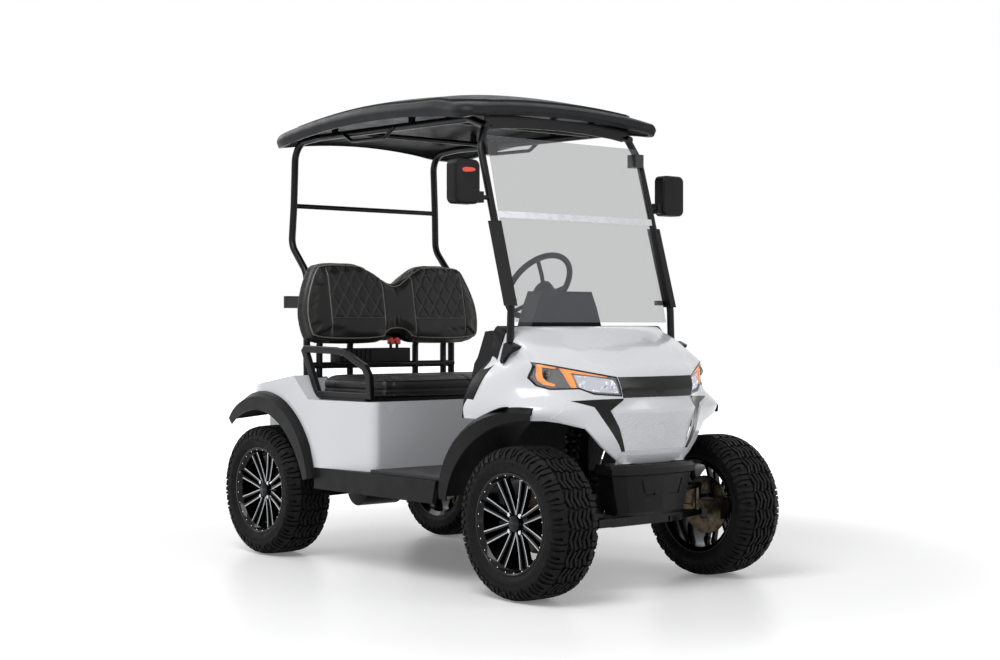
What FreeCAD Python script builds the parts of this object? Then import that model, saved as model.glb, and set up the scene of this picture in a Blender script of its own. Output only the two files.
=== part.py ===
import FreeCAD, Part
import Sketcher
import os
import re
from math import cos, sin, tan, radians, degrees, sqrt, atan2, pi, ceil

# Two-seat golf cart. +X is forward, +Y is the driver's side (left), +Z is up.
# x = 0 is midway between the axles, y = 0 the centre plane, z = 0 the ground. Sizes in mm.
Vector = FreeCAD.Vector
UP = Vector(0, 0, 1)
FORWARD = Vector(1, 0, 0)
LEFT = Vector(0, 1, 0)
SIDES = (("right", -1), ("left", 1))

doc = FreeCAD.newDocument("GolfCart")
sheet = doc.addObject("Spreadsheet::Sheet", "Dimensions")

driving = {
    "general": {
        "wheelBase": 1722, "halfTrack": 510, "seatGap": 0.3, "panelWall": 6,
    },
    "wheel": {
        "tyreDiameter": 580, "tyreWidth": 220, "treadDepth": 11, "lugCount": 24, "rimDiameter": 388,
        "rimWidth": 196, "barrelWall": 9, "spokeCount": 8, "spokeFace": 30, "hubRadius": 62,
        "hubLength": 58, "discRadius": 120, "discThickness": 9, "discInset": 42,
    },
    "steering": {
        "steerLimit": 26, "wheelLimit": 390, "kingpinY": 420, "kingpinRadius": 17,
        "kingpinHeight": 150, "spindleRadius": 14, "armLength": 110, "tieRodRadius": 9,
        "rackRadius": 17, "rackHalfLength": 150, "rackBore": 12, "steeringWheelDiameter": 352,
        "steeringGrip": 13, "columnRadius": 22, "steeringX": 100, "steeringY": 225,
        "steeringZ": 1205, "columnAngle": 36,
    },
    "frame": {
        "railWidth": 50, "railHeight": 80, "frameTop": 418, "railY": 200, "frameRear": -1105,
        "crossWidth": 60, "outriggerHalf": 565, "towerTop": 660, "towerBack": 55,
        "rearTowerTop": 570, "rearTowerX": 40, "shockSocket": 20, "shockStub": 32,
        "armReachX": 105, "lowerArmZ": 264, "upperArmZ": 375, "armThickness": 20,
        "springRadius": 31, "shockRadius": 17, "axleRadius": 36, "diffRadius": 98,
        "motorRadius": 82, "motorLength": 210, "hitchPinRadius": 8, "hitchWidth": 64,
    },
    "floor": {
        "floorThickness": 12, "floorHalf": 565, "floorFront": 436, "floorRear": -68,
        "toeHalf": 262, "toeTopX": 558, "toeTopZ": 680, "sillThickness": 22, "sillHeight": 92,
        "sillRear": -452, "sillFront": 372,
    },
    "cowl": {
        "cowlHalf": 565, "noseX": 1060, "hoodTop": 1028, "hoodFrontZ": 835, "maskBottom": 497,
        "edgeTrimLap": 20, "edgeTrimWidth": 36, "edgeTrimProud": 2,
        "archLip": 672, "lampDepth": 30, "grilleDepth": 12, "trimDepth": 9, "panelGap": 1,
    },
    "bumper": {
        "bumperTop": 497, "bumperBottom": 300, "bumperFront": 1082, "bumperRear": 930,
        "bumperHalf": 232, "bumperFace": 178, "bumperPress": 4,
    },
    "rear": {
        "podFront": -70, "podTop": 710, "podMargin": 62, "bodyMargin": 100, "deckFrontX": -602,
        "deckFrontZ": 812, "deckRearX": -1020, "deckRearZ": 748, "tailX": -1130, "tailTopZ": 712,
        "tailBottomZ": 500, "podCorner": 50, "archRadius": 424, "wellInnerY": 385,
        "wellX0": -1085, "wellX1": -815, "wellHalf": 330, "wellFloor": 590, "wellWall": 5,
        "rearBumperZ": 422, "rearBumperHeight": 75, "rearBumperHalf": 360, "hatchHalf": 420,
    },
    "flare": {
        "flareOuter": 622, "flareWall": 7, "flareOpening": 362, "linerWall": 4,
    },
    "seat": {
        "cushionHalf": 494, "cushionFront": -86, "cushionRear": -604, "cushionThickness": 96,
        "boardThickness": 14, "lidLimit": 55, "backHalf": 520, "backBottom": 948,
        "humpTop": 1345, "humpY": 276, "valleyTop": 1237, "backFaceX": -600, "backThickness": 88,
        "backLean": 10, "seatPostX": -742, "seatPostRadius": 15, "armRestReach": 32,
        "armRestWidth": 26, "armRestTube": 30,
    },
    "battery": {
        "batteryFront": -150, "batteryRear": -520, "batteryHalf": 190, "batteryTop": 660,
    },
    "canopy": {
        "postRadius": 16, "postY": 420, "postX": -755, "postKneeZ": 1270, "postUpperX": -877,
        "crossbarZ": 1580, "railTopY": 400, "railTopZ": 1878, "railFrontX": 498, "pillarRadius": 15,
        "pillarFootX": 686, "pillarY": 444, "pillarFootZ": 938, "pillarBendZ": 1100,
        "pillarTopX": 501, "pillarTopZ": 1738, "roofHalf": 546, "roofRear": -940, "roofFront": 534,
        "roofCrown": 61, "roofWall": 14, "lipThickness": 24, "roofStep": 8,
    },
    "windshield": {
        "glassHalf": 418, "glassBottomX": 687, "glassBottomZ": 1044, "glassHingeZ": 1469,
        "glassTopZ": 1785, "glassSlope": 0.238, "glassThickness": 5, "hingeHeight": 26,
    },
    "mirror": {
        "mirrorX": 585, "mirrorInner": 512, "mirrorWidth": 126, "mirrorHeight": 173,
        "mirrorDepth": 56, "mirrorZ": 1503,
    },
}

row = 1
for group in driving.values():
    for alias, value in group.items():
        sheet.set("A%d" % row, alias)
        sheet.set("B%d" % row, str(value))
        sheet.setAlias("B%d" % row, alias)
        row += 1
doc.recompute()


class Sizes:
    def __getattr__(self, alias):
        return float(sheet.getPropertyByName(alias))


S = Sizes()
aliasPattern = re.compile(r"\b(%s)\b" % "|".join(a for g in driving.values() for a in g))


def bind(thing, **expressions):
    # each keyword is a property of the object, "Placement_Base_x" standing for Placement.Base.x
    for prop, expression in expressions.items():
        thing.setExpression(prop.replace("_", "."), aliasPattern.sub(r"Dimensions.\1", expression))


parts = {}


def keep(thing, label):
    thing.Label = label
    parts[label] = thing
    return thing


def feature(label, shape):
    thing = doc.addObject("Part::Feature", label)
    thing.Shape = shape
    return keep(thing, label)


def box(name, length, width, height, x, y, z):
    # a parametric block, its low corner at x, y, z
    thing = doc.addObject("Part::Box", name)
    bind(thing, Length=length, Width=width, Height=height,
         Placement_Base_x=x, Placement_Base_y=y, Placement_Base_z=z)
    return thing


def cylinder(name, radius, height, x, y, z, axis=UP):
    thing = doc.addObject("Part::Cylinder", name)
    thing.Placement = FreeCAD.Placement(Vector(), FreeCAD.Rotation(UP, axis))
    bind(thing, Radius=radius, Height=height,
         Placement_Base_x=x, Placement_Base_y=y, Placement_Base_z=z)
    return thing


def fuse(label, things):
    thing = doc.addObject("Part::MultiFuse", label)
    thing.Shapes = things
    thing.Refine = True
    return thing


def cut(label, base, tool):
    thing = doc.addObject("Part::Cut", label)
    thing.Base = base
    thing.Tool = tool
    return thing


def outlineBody(name, plane, points, depth, middle=False, reverse=False):
    # a PartDesign body padded from an outline whose corners are bound to the sheet
    body = doc.addObject("PartDesign::Body", name)
    sketch = body.newObject("Sketcher::SketchObject", name + "Outline")
    origin = [f for f in body.Origin.OriginFeatures if f.Role == plane][0]
    sketch.AttachmentSupport = [(origin, "")]
    sketch.MapMode = "FlatFace"
    doc.recompute()
    values = [(evaluate(a), evaluate(b)) for a, b in points]
    count = len(points)
    for i in range(count):
        a, b = values[i], values[(i + 1) % count]
        sketch.addGeometry(Part.LineSegment(Vector(a[0], a[1], 0), Vector(b[0], b[1], 0)), False)
    for i in range(count):
        sketch.addConstraint(Sketcher.Constraint("Coincident", i, 2, (i + 1) % count, 1))
    for i, point in enumerate(points):
        for kind, expression, value in (("DistanceX", point[0], values[i][0]),
                                        ("DistanceY", point[1], values[i][1])):
            index = sketch.addConstraint(Sketcher.Constraint(kind, -1, 1, i, 1, value))
            bind(sketch, **{"Constraints[%d]" % index: expression})
    pad = body.newObject("PartDesign::Pad", name + "Pad")
    pad.Profile = sketch
    pad.Midplane = middle
    pad.Reversed = reverse
    bind(pad, Length=depth)
    return body


def evaluate(expression):
    words = {a: sheet.getPropertyByName(a) for g in driving.values() for a in g}
    total = aliasPattern.sub(lambda m: repr(float(words[m.group(1)])), expression)
    return float(FreeCAD.Units.Quantity(total).Value)


def point(x, y, z):
    return Vector(x, y, z)


def roundedPath(points, bend):
    # straight runs joined by tangent arcs
    edges, start = [], points[0]
    for before, corner, after in zip(points, points[1:], points[2:]):
        back, ahead = before - corner, after - corner
        turn = pi - back.getAngle(ahead)
        if turn < 0.01:
            continue
        reach = min(bend * tan(turn / 2), 0.45 * back.Length, 0.45 * ahead.Length)
        one = corner + back.normalize() * reach
        two = corner + ahead.normalize() * reach
        middle = (one + two) * 0.5 - corner
        radius = reach / tan(turn / 2)
        peak = corner + middle.normalize() * (radius / cos(turn / 2) - radius)
        if (one - start).Length > 1e-4:
            edges.append(Part.LineSegment(start, one).toShape())
        edges.append(Part.Arc(one, peak, two).toShape())
        start = two
    if (points[-1] - start).Length > 1e-4:
        edges.append(Part.LineSegment(start, points[-1]).toShape())
    return Part.Wire(edges)


def rod(points, radius, bend=60):
    path = roundedPath([Vector(p) for p in points], bend)
    ring = Part.Wire(Part.makeCircle(radius, points[0], points[1] - points[0]))
    return path.makePipeShell([ring], True, False)


def bar(points, profileWire, bend=60):
    path = roundedPath([Vector(p) for p in points], bend)
    return path.makePipeShell([profileWire], True, False)


def prism(points, direction):
    wire = Part.makePolygon(points + [points[0]])
    return Part.Face(wire).extrude(direction)


def block(x0, x1, y0, y1, z0, z1):
    return Part.makeBox(x1 - x0, y1 - y0, z1 - z0, Vector(x0, y0, z0))


def mirrored(shape):
    return shape.mirror(Vector(), LEFT)


def pair(shape):
    return Part.makeCompound([shape, mirrored(shape)])


def joined(shapes):
    return shapes[0].fuse(shapes[1:]).removeSplitter()


axleX = S.wheelBase / 2
axleZ = S.tyreDiameter / 2
gap = S.seatGap
frameBottom = S.frameTop - S.railHeight
podHalf = S.cushionHalf + S.podMargin
bodyHalf = S.cushionHalf + S.bodyMargin


# frame: two box rails, crossmembers with outriggers, front tower, hitch
def chassisFrame():
    front = "bumperRear - seatGap"
    pieces = []
    for name, side in SIDES:
        low = "railY - railWidth / 2" if side > 0 else "-railY - railWidth / 2"
        pieces.append(box("Rail" + name, front + " - frameRear", "railWidth", "railHeight",
                          "frameRear", low, "frameTop - railHeight"))
        pieces.append(box("Tower" + name, "crossWidth", "railWidth", "towerTop - frameTop",
                          "wheelBase / 2 - crossWidth / 2 - towerBack", low, "frameTop"))
        pieces.append(box("RearTower" + name, "crossWidth", "railWidth",
                          "rearTowerTop - frameTop",
                          "-wheelBase / 2 + rearTowerX - crossWidth / 2", low, "frameTop"))
        shelf = "railY" if side > 0 else "-railY - railWidth / 2 - 55"
        pieces.append(box("RearShelf" + name, "crossWidth", "railWidth / 2 + 55",
                          "shockSocket + 4", "-wheelBase / 2 + rearTowerX - crossWidth / 2",
                          shelf, "rearTowerTop - shockSocket - 4"))
    for index, x in enumerate(("frameRear", "sillRear + 5", "-crossWidth / 2",
                               "sillFront - crossWidth", "wheelBase / 2 - armLength - crossWidth / 2",
                               front + " - crossWidth")):
        half = "outriggerHalf" if index in (1, 2, 3) else "railY"
        pieces.append(box("Cross%d" % index, "crossWidth", "2 * " + half, "railHeight - 12",
                          x, "-" + half, "frameTop - railHeight + 12"))
    pieces.append(box("TowerCross", "crossWidth", "2 * railY", "crossWidth",
                      "wheelBase / 2 - crossWidth / 2 - towerBack", "-railY",
                      "towerTop - crossWidth"))
    pieces.append(box("HitchTube", "40", "hitchWidth", "hitchWidth", "frameRear - 40",
                      "-hitchWidth / 2", "frameTop - railHeight + 6"))
    whole = fuse("FrameWeldment", pieces)
    bore = cylinder("HitchBore", "hitchPinRadius", "40", "frameRear - 40", "0",
                    "frameTop - railHeight + 6 + hitchWidth / 2", FORWARD)
    low, high = rearShockEnds()
    axis = (high - low).normalize()
    for name, side in SIDES:
        tool = Part.makeCylinder(S.shockRadius - 4 + gap, 60, high - axis * 60, axis)
        socket = doc.addObject("Part::Feature", "ShockSocket" + name)
        socket.Shape = tool if side > 0 else mirrored(tool)
        whole = cut("Frame" + name, whole, socket)
    passage = doc.addObject("Part::Feature", "ShaftPassage")
    foot, knee = shaftEnds()
    passage.Shape = Part.makeCylinder(16, 200, foot, knee - foot)
    whole = cut("FrameShaftPassage", whole, passage)
    keep(cut("ChassisFrame", whole, bore), "chassis_frame")


def shaftEnds():
    # the steering shaft's last run, from the rack up to its lower bend
    rackX, rackZ = axleX - S.armLength, axleZ + 22
    return (point(rackX, 110, rackZ + S.rackRadius), point(rackX - 40, S.steeringY - 60, 560))


def rearShockEnds():
    return (point(-axleX, 285, axleZ + S.axleRadius + gap),
            point(-axleX + S.rearTowerX, S.railY + S.railWidth / 2 + 31, S.rearTowerTop - 4))


def floorPan():
    half, thick = S.floorHalf, S.floorThickness
    low = S.frameTop + gap
    pan = block(S.floorRear, S.floorFront, -half, half, low, low + thick)
    toe = prism([point(S.floorFront - 1, -S.toeHalf, low), point(S.toeTopX, -S.toeHalf, S.toeTopZ),
                 point(S.toeTopX, -S.toeHalf, S.toeTopZ + thick * 1.5),
                 point(S.toeTopX - thick * 0.4, -S.toeHalf, S.toeTopZ + thick * 1.5),
                 point(S.floorFront - 1 - thick, -S.toeHalf, low + thick)],
                LEFT * 2 * S.toeHalf)
    feature("floor_pan", joined([pan, toe]))


def sideSills():
    body = outlineBody("SillOutline", "XZ_Plane",
                       [("sillRear", "frameTop - sillHeight"), ("sillFront", "frameTop - sillHeight"),
                        ("sillFront + 24", "frameTop"), ("sillRear", "frameTop")],
                       "sillThickness")
    doc.recompute()
    shape = body.Shape.copy()
    low = shape.BoundBox.YMin
    shape.translate(Vector(0, S.floorHalf + gap - low, 0))
    feature("side_sills", pair(shape))


# cowl: plan outlines at rising heights, each from the cabin edge round to the centre
cowlStations = (
    # height, cabin edge (x, y), flank, lamp end, lamp middle, crease or strip end, centre x
    (496, (560, 500), (760, 470), (890, 390), (960, 290), (1003, 186), 1018),
    (530, (560, 520), (760, 491), (891, 411), (959, 312), (1017, 192), 1034),
    (575, (560, 546), (760, 517), (892, 437), (958, 341), (1031, 199), 1048),
    (640, (560, 566), (760, 540), (893, 465), (955, 372), (1040, 205), 1056),
    (735, (555, 566), (750, 540), (885, 485), (953, 378), (1044, 192), 1060),
    (768, (562, 548), (748, 524), (862, 463), (944, 362), (1041, 195), 1055),
    (835, (575, 515), (740, 500), (850, 452), (938, 352), (1027, 204), 1043),
    (878, (590, 484), (730, 480), (845, 457), (912, 352), (970, 245), 1003),
    (918, (600, 464), (715, 463), (815, 432), (862, 362), (905, 285), 938),
    (957, (608, 452), (695, 452), (760, 425), (797, 372), (825, 315), 868),
    (995, (615, 444), (665, 440), (697, 415), (715, 385), (725, 355), 785),
    (1028, (620, 428), (634, 424), (643, 412), (648, 397), (652, 383), 692),
)


def cowlWire(station, inset, open_=0):
    z, rear, flank, lamp, middle, crease, centre = station
    wide, nose = S.cowlHalf / 566, S.noseX - 1060
    right = [point(x + (nose if x > 700 else 0) - inset * (x - 600) / 450,
                   -(y * wide - inset), z)
             for x, y in (flank, lamp, middle, crease)]
    start = point(rear[0] - open_, -(rear[1] * wide - inset), z)
    front = point(centre + nose - inset, 0, z)
    left = [Vector(p.x, -p.y, p.z) for p in reversed(right)]
    finish = Vector(start.x, -start.y, start.z)
    side = Part.BSplineCurve()
    side.interpolate([start] + right)
    face = Part.BSplineCurve()
    face.interpolate([right[-1], front, left[0]])
    other = Part.BSplineCurve()
    other.interpolate(left + [finish])
    return Part.Wire([side.toShape(), face.toShape(), other.toShape(),
                      Part.LineSegment(finish, start).toShape()])


def cowlSolid(inset=0, open_=0):
    shift = S.hoodTop - 1028
    wires = []
    for station in cowlStations:
        z = station[0] + shift * (station[0] > 835) * (station[0] - 835) / 193
        wires.append(cowlWire((z - (inset if station[0] > 850 else 0),) + station[1:],
                              inset, open_))
    return Part.makeLoft(wires, True, False)


def cowlEdge(z):
    # x of the cowl's cabin edge at a height
    rows = [(station[0], station[1][0]) for station in cowlStations]
    for (low, one), (high, two) in zip(rows, rows[1:]):
        if z <= high:
            return one + (two - one) * (z - low) / (high - low)
    return rows[-1][1]


def edgeBand(proud, grow=0):
    # the strip of the cowl's skin that the cabin edge moulding covers
    heights = (S.archLip - 14, 745, 835, 878, 918, 957, 995, S.hoodTop + 8)
    back = [point(cowlEdge(z) - S.edgeTrimLap, -800, z) for z in heights]
    ahead = [point(cowlEdge(z) + S.edgeTrimWidth + grow, -800, z) for z in reversed(heights)]
    side = prism(back + ahead, LEFT * 1600)
    return cowlSolid(-proud, 60).cut(cowlSolid(S.panelWall + 8 * grow, 60)).common(side)


def edgeTrim():
    band_ = edgeBand(S.edgeTrimProud).cut(archTool(S.archLip))
    feature("cowl_edge_trim", max(band_.Solids, key=lambda s: s.Volume))


def frontPrism(outline, x0=760):
    # outline of (y, z) points cut straight back from the nose
    return prism([point(x0, y, z) for y, z in outline], FORWARD * 600)


lampOutline = ((-462, 893), (-206, 836), (-191, 760), (-288, 768), (-335, 789), (-425, 787),
               (-458, 801), (-474, 832))
grilleOutline = ((-229, 707), (-178, 752), (178, 752), (229, 707), (164, 552), (-164, 552))
stripOutline = ((-204, 835), (204, 835), (188, 755), (-188, 755))
trimOutline = ((-375, 746), (-192, 753.5), (-183, 752.5), (-233, 707), (-166, 549), (-182, 549),
               (-292, 722))


nose = cowlSolid()


def band(outer, inner, outline):
    shell = cowlSolid(outer).cut(cowlSolid(inner, 0))
    return shell.common(frontPrism(outline))


def archTool(lip, shift=0):
    # everything outboard of the mask's lower edge, seen from the front
    outline = [(188, 400), (188, 512), (262, 572), (322, 639), (420, lip - 8), (470, lip),
               (720, lip), (720, 400)]
    left = prism([point(400, y + shift, z - shift) for y, z in outline], FORWARD * 800)
    return left.fuse(mirrored(left))


def cowlKeepOut():
    # the cowl's skin grown by the seating gap
    return cowlSolid(-gap).cut([cowlSolid(S.panelWall + gap, 60), archTool(S.archLip, gap)])


def frontCowl():
    shell = cowlSolid().cut(cowlSolid(S.panelWall, 60).fuse(
        block(400, S.noseX - 60, -150, 150, 400, 600)))
    lower = block(400, 1200, -800, 800, 300, S.maskBottom + 0.5)
    cavity = block(500, S.noseX - 45, -178, 178, 400, 545)
    shell = shell.cut([archTool(S.archLip), lower, cavity])
    for outline in (lampOutline, tuple((-y, z) for y, z in lampOutline), grilleOutline,
                    stripOutline, trimOutline, tuple((-y, z) for y, z in trimOutline)):
        shell = shell.cut(frontPrism(outline))
    shell = shell.cut(edgeBand(S.edgeTrimProud + gap, gap))
    feature("front_cowl", max(shell.Solids, key=lambda s: s.Volume))


def frontFittings():
    clear = 0.4
    rows = ((552, 164, -1), (707, 229, 5), (752, 178, -2))
    feature("grille_panel", creasedPanel(rows, S.grilleDepth, clear))
    strip = creasedPanel(((755, 188, -1), (797, 196.4, 4), (835, 204, -1)), S.trimDepth, clear)
    trim = band(-1, S.trimDepth, shrink(trimOutline, clear))
    feature("nose_trim", Part.makeCompound([strip, trim, mirrored(trim)]))
    lamp = band(-1, S.lampDepth, shrink(lampOutline, clear))
    feature("headlamps", pair(lamp))


def skinX(y, z):
    # how far forward the cowl's skin lies at y, z
    line = Part.LineSegment(point(700, y, z), point(1500, y, z)).toShape()
    return max(v.X for v in line.common(nose).Vertexes)


def creasedPanel(rows, depth, clear):
    # rows of (height, half width, how far proud), joined by flat-sided runs with creases between
    wires = []
    for index, (z, half, proud) in enumerate(rows):
        z += clear * ((index == 0) - (index == len(rows) - 1))
        half -= clear
        side, middle = skinX(half, z) + proud, skinX(0, z) + proud
        front = Part.Arc(point(side, -half, z), point(middle, 0, z), point(side, half, z)).toShape()
        back = Part.Arc(point(side - depth, half, z), point(middle - depth, 0, z),
                        point(side - depth, -half, z)).toShape()
        ends = [Part.LineSegment(point(side, s * half, z), point(side - depth, s * half, z)).toShape()
                for s in (1, -1)]
        wires.append(Part.Wire([front, ends[0], back, ends[1]]))
    return Part.makeLoft(wires, True, True)


def shrink(outline, clear):
    # the outline with every side moved in by the clearance
    wire = Part.makePolygon([point(0, y, z) for y, z in outline + (outline[0],)])
    inner = wire.makeOffset2D(-clear, 2)
    if Part.Face(inner).Area > Part.Face(wire).Area:
        inner = wire.makeOffset2D(clear, 2)
    return tuple((v.Point.y, v.Point.z) for v in inner.OrderedVertexes)


def frontBumper():
    def section(z, half, face, front):
        points = [point(S.bumperRear, -half, z), point(front - 62, -half, z),
                  point(front - 26, -face, z), point(front - 6, -0.55 * face, z),
                  point(front, 0, z), point(front - 6, 0.55 * face, z),
                  point(front - 26, face, z), point(front - 62, half, z),
                  point(S.bumperRear, half, z)]
        return Part.makePolygon(points + [points[0]])
    top, low, wide = S.bumperTop, S.bumperBottom, S.bumperHalf
    face, front = S.bumperFace, S.bumperFront
    rows = ((low, wide - 60, face - 34, front - 34), (low + 14, wide - 54, face - 30, front - 18),
            (top - 42, wide - 12, face, front - 6), (top - 36, wide - 2, face + 10, front + 6),
            (top - 14, wide, face + 14, front + 4), (top, wide - 6, face + 4, front - 10))
    solid = Part.makeLoft([section(*row) for row in rows], True, True)
    inside = block(S.bumperRear - 10, S.bumperFront - 58, -S.bumperFace + 44, S.bumperFace - 44,
                   low + 12, top - 12)
    pads = []
    for side in (-1, 1):
        outline = [(side * 40, low + 78), (side * 96, low + 78), (side * 116, low + 138),
                   (side * 107, low + 138), (side * 89, low + 88), (side * 40, low + 88)]
        pads.append(prism([point(S.bumperFront - 60, y, z) for y, z in outline], FORWARD * 80))
    grown = solid.copy()
    grown.translate(FORWARD * -S.bumperPress)
    solid = solid.cut([pad.cut(grown) for pad in pads])
    feature("front_bumper", solid.cut(inside))


# rear body: side profile and plan outline, each drawn once and used for skin and cavity
def rearSolid(inset):
    low = S.frameTop + gap
    side = [(S.podFront - inset, low - 3 * inset), (S.podFront - inset, S.podTop - inset),
            (-490 - inset, S.podTop - inset), (S.deckFrontX - inset, S.deckFrontZ - inset),
            (S.deckRearX, S.deckRearZ - inset), (S.tailX + inset, S.tailTopZ - inset),
            (S.tailX + inset, S.tailBottomZ - 3 * inset), (-560, low - 3 * inset)]
    profile = prism([point(x, -900, z) for x, z in side], LEFT * 1800)
    half, pod = bodyHalf - inset, podHalf - inset
    front, tail = S.podFront - inset, S.tailX + inset
    corner = S.podCorner
    bend = Part.Arc(point(front, pod - corner, 0),
                    point(front - corner * 0.293, pod - corner * 0.293, 0),
                    point(front - corner, pod, 0)).toShape()
    flank = Part.LineSegment(point(front - corner, pod, 0), point(-455, half, 0)).toShape()
    side2 = Part.LineSegment(point(-455, half, 0), point(-850, half, 0)).toShape()
    back = Part.Arc(point(-850, half, 0), point(-1030, half - 82, 0), point(tail, 330, 0)).toShape()
    edges = [bend, flank, side2, back]
    others = [e.mirror(Vector(), LEFT) for e in edges]
    tailEdge = Part.LineSegment(point(tail, 330, 0), point(tail, -330, 0)).toShape()
    noseEdge = Part.LineSegment(point(front, pod - corner, 0),
                                point(front, corner - pod, 0)).toShape()
    wire = Part.Wire(Part.sortEdges(edges + [tailEdge] + others + [noseEdge])[0])
    plan = Part.Face(wire).extrude(UP * 1200)
    return profile.common(plan)


def wheelDrum(radius, y0, y1, x):
    return Part.makeCylinder(radius, y1 - y0, point(x, y0, axleZ), LEFT)


def rearBody():
    wall = S.panelWall
    outer = rearSolid(0).cut(seatRecess(0))
    skin = outer.cut(rearSolid(wall).cut(seatRecess(wall)))
    drums, hollows = [], []
    for side in (-1, 1):
        start = S.wellInnerY if side > 0 else -1000
        end = 1000 if side > 0 else -S.wellInnerY
        drums.append(wheelDrum(S.archRadius + wall, start - wall * (side > 0),
                               end + wall * (side < 0), -axleX).common(outer))
        hollows.append(wheelDrum(S.archRadius, start, end, -axleX))
    skin = skin.fuse(drums).cut(hollows)
    hatch = block(-545, S.podFront - 45, -S.hatchHalf, S.hatchHalf, 600, 760)
    well = block(S.wellX0, S.wellX1, -S.wellHalf, S.wellHalf, 600, 900)
    skin = skin.cut([hatch, well])
    skin = max(skin.Solids, key=lambda s: s.Volume)
    feature("rear_body", joined([skin, latchTab()]))


def seatRecess(wall):
    # the step the seat's rear edge swings through
    return block(-712 - wall, -400, -S.cushionHalf - 8 - wall, S.cushionHalf + 8 + wall,
                 S.podTop - wall, 1000)


def latchTab():
    return block(S.podFront - 20, S.podFront + 9, 55, 105, S.podTop - 2, S.podTop + 5)


def rearKeepOut():
    # the rear body grown by the seating gap, its wheel wells left open
    solid = rearSolid(-gap)
    return solid.cut([wheelDrum(S.archRadius - gap, S.wellInnerY, 1000, -axleX),
                      wheelDrum(S.archRadius - gap, -1000, -S.wellInnerY, -axleX)])


def bagWell():
    x0, x1, half, wall = S.wellX0 + 1, S.wellX1 - 1, S.wellHalf - 1, S.wellWall
    rim = rearSolid(-wall).cut(rearSolid(-gap)).common(
        block(x0 - 18, x1 + 18, -half - 18, half + 18, 650, 900))
    tray = block(x0, x1, -half, half, S.wellFloor, 900).common(rearSolid(-wall))
    tray = tray.cut(block(x0 + wall, x1 - wall, -half + wall, half - wall,
                          S.wellFloor + wall, 950))
    rim = rim.cut(block(x0 + wall, x1 - wall, -half + wall, half - wall, 500, 950))
    feature("bag_well", joined([tray, rim]))


# flares: a lipped section carried round the wheel on a row of stations
def flareBand(centreX, stations):
    wires = []
    for angle, bodyR, lipR, bodyY, outerY in stations:
        a = radians(angle)
        wall = S.flareWall
        profile = ((bodyR, bodyY - 4), (bodyR - 6, bodyY + 0.55 * (outerY - bodyY)),
                   (bodyR - 26, outerY), (lipR, outerY - 2), (lipR, outerY - 2 - wall),
                   (bodyR - 28 - wall, outerY - wall), (bodyR - 8 - wall, bodyY + 4),
                   (bodyR - wall, bodyY - 4))
        points = [point(centreX + r * cos(a), y, axleZ + r * sin(a)) for r, y in profile]
        wires.append(Part.makePolygon(points + [points[0]]))
    return Part.makeLoft(wires, True, False)


def frontFlares():
    stations = ((87, 436, 384, 484, 527), (108, 447, 375, 528, 580), (128, 456, 370, 555, 604),
                (150, 462, 372, 571, 614), (171, 440, 376, 572, 616))
    radius = 441
    liner = Part.makeCylinder(radius, 300, point(axleX, 270, axleZ), LEFT).cut(
        Part.makeCylinder(radius - S.linerWall, 302, point(axleX, 269, axleZ), LEFT))
    sector = prism([point(axleX, 200, axleZ), point(axleX - 700, 200, axleZ + 110),
                    point(axleX - 700, 200, axleZ + 700), point(axleX - 130, 200, axleZ + 700)],
                   LEFT * 500)
    shape = joined([flareBand(axleX, stations), liner.common(sector)]).cut(
        [cowlKeepOut(), edgeBand(S.edgeTrimProud + gap, gap)])
    feature("front_flares", pair(max(shape.Solids, key=lambda s: s.Volume)))


def rearFlares():
    wide = bodyHalf
    stations = ((11, 438, 376, wide, wide + 28), (35, 448, 364, wide + 1, wide + 32),
                (62, 452, 360, wide + 1, wide + 32), (90, 448, 362, wide, wide + 31),
                (112, 438, 362, wide - 76, wide + 30), (127, 420, 362, wide - 194, wide + 26))
    shape = flareBand(-axleX, stations).cut(rearKeepOut())
    feature("rear_flares", pair(max(shape.Solids, key=lambda s: s.Volume)))


# seat: a board and cushion that lift together, a two-hump backrest on its frame, arm loops
def seatBase():
    board = box("SeatBoard", "cushionFront - cushionRear - 16", "2 * cushionHalf - 12",
                "boardThickness", "cushionRear + 4", "-cushionHalf + 6", "podTop + seatGap")
    keep(board, "seat_board")
    block_ = box("CushionBlock", "cushionFront - cushionRear", "2 * cushionHalf",
                 "cushionThickness", "cushionRear", "-cushionHalf",
                 "podTop + boardThickness + 2 * seatGap")
    doc.recompute()
    shape = block_.Shape
    edges = [e for e in shape.Edges if e.CenterOfMass.z > shape.CenterOfMass.z - 1]
    feature("seat_cushion", shape.makeFillet(30, edges))


def backFace(z, offset=0):
    # x of the backrest's front face at a height, leaning back as it rises
    return S.backFaceX - (z - S.backBottom) * tan(radians(S.backLean)) + offset


def backrest():
    half, low, top, valley = S.backHalf, S.backBottom, S.humpTop, S.valleyTop
    outline = [(0, low + 50), (48, low + 42), (66, low), (half - 44, low), (half - 8, low + 60),
               (half, low + 190), (half - 74, top - 30), (half - 130, top), (S.humpY - 74, top),
               (S.humpY - 130, top - 14), (S.humpY - 210, top - 62), (0, valley)]
    outline += [(-y, z) for y, z in reversed(outline[1:-1])]
    slab = prism([point(0, y, z) for y, z in outline], Vector(-S.backThickness, 0, 0))
    slab = slab.makeFillet(14, [e for e in slab.Edges if e.CenterOfMass.x > -1])
    slab.rotate(Vector(0, 0, low), LEFT, -S.backLean)
    slab.translate(Vector(S.backFaceX, 0, 0))
    post = rod(railRoute(), S.postRadius + gap, 90)
    slab = slab.cut([post, mirrored(post)])
    feature("backrest", max(slab.Solids, key=lambda s: s.Volume))


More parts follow.
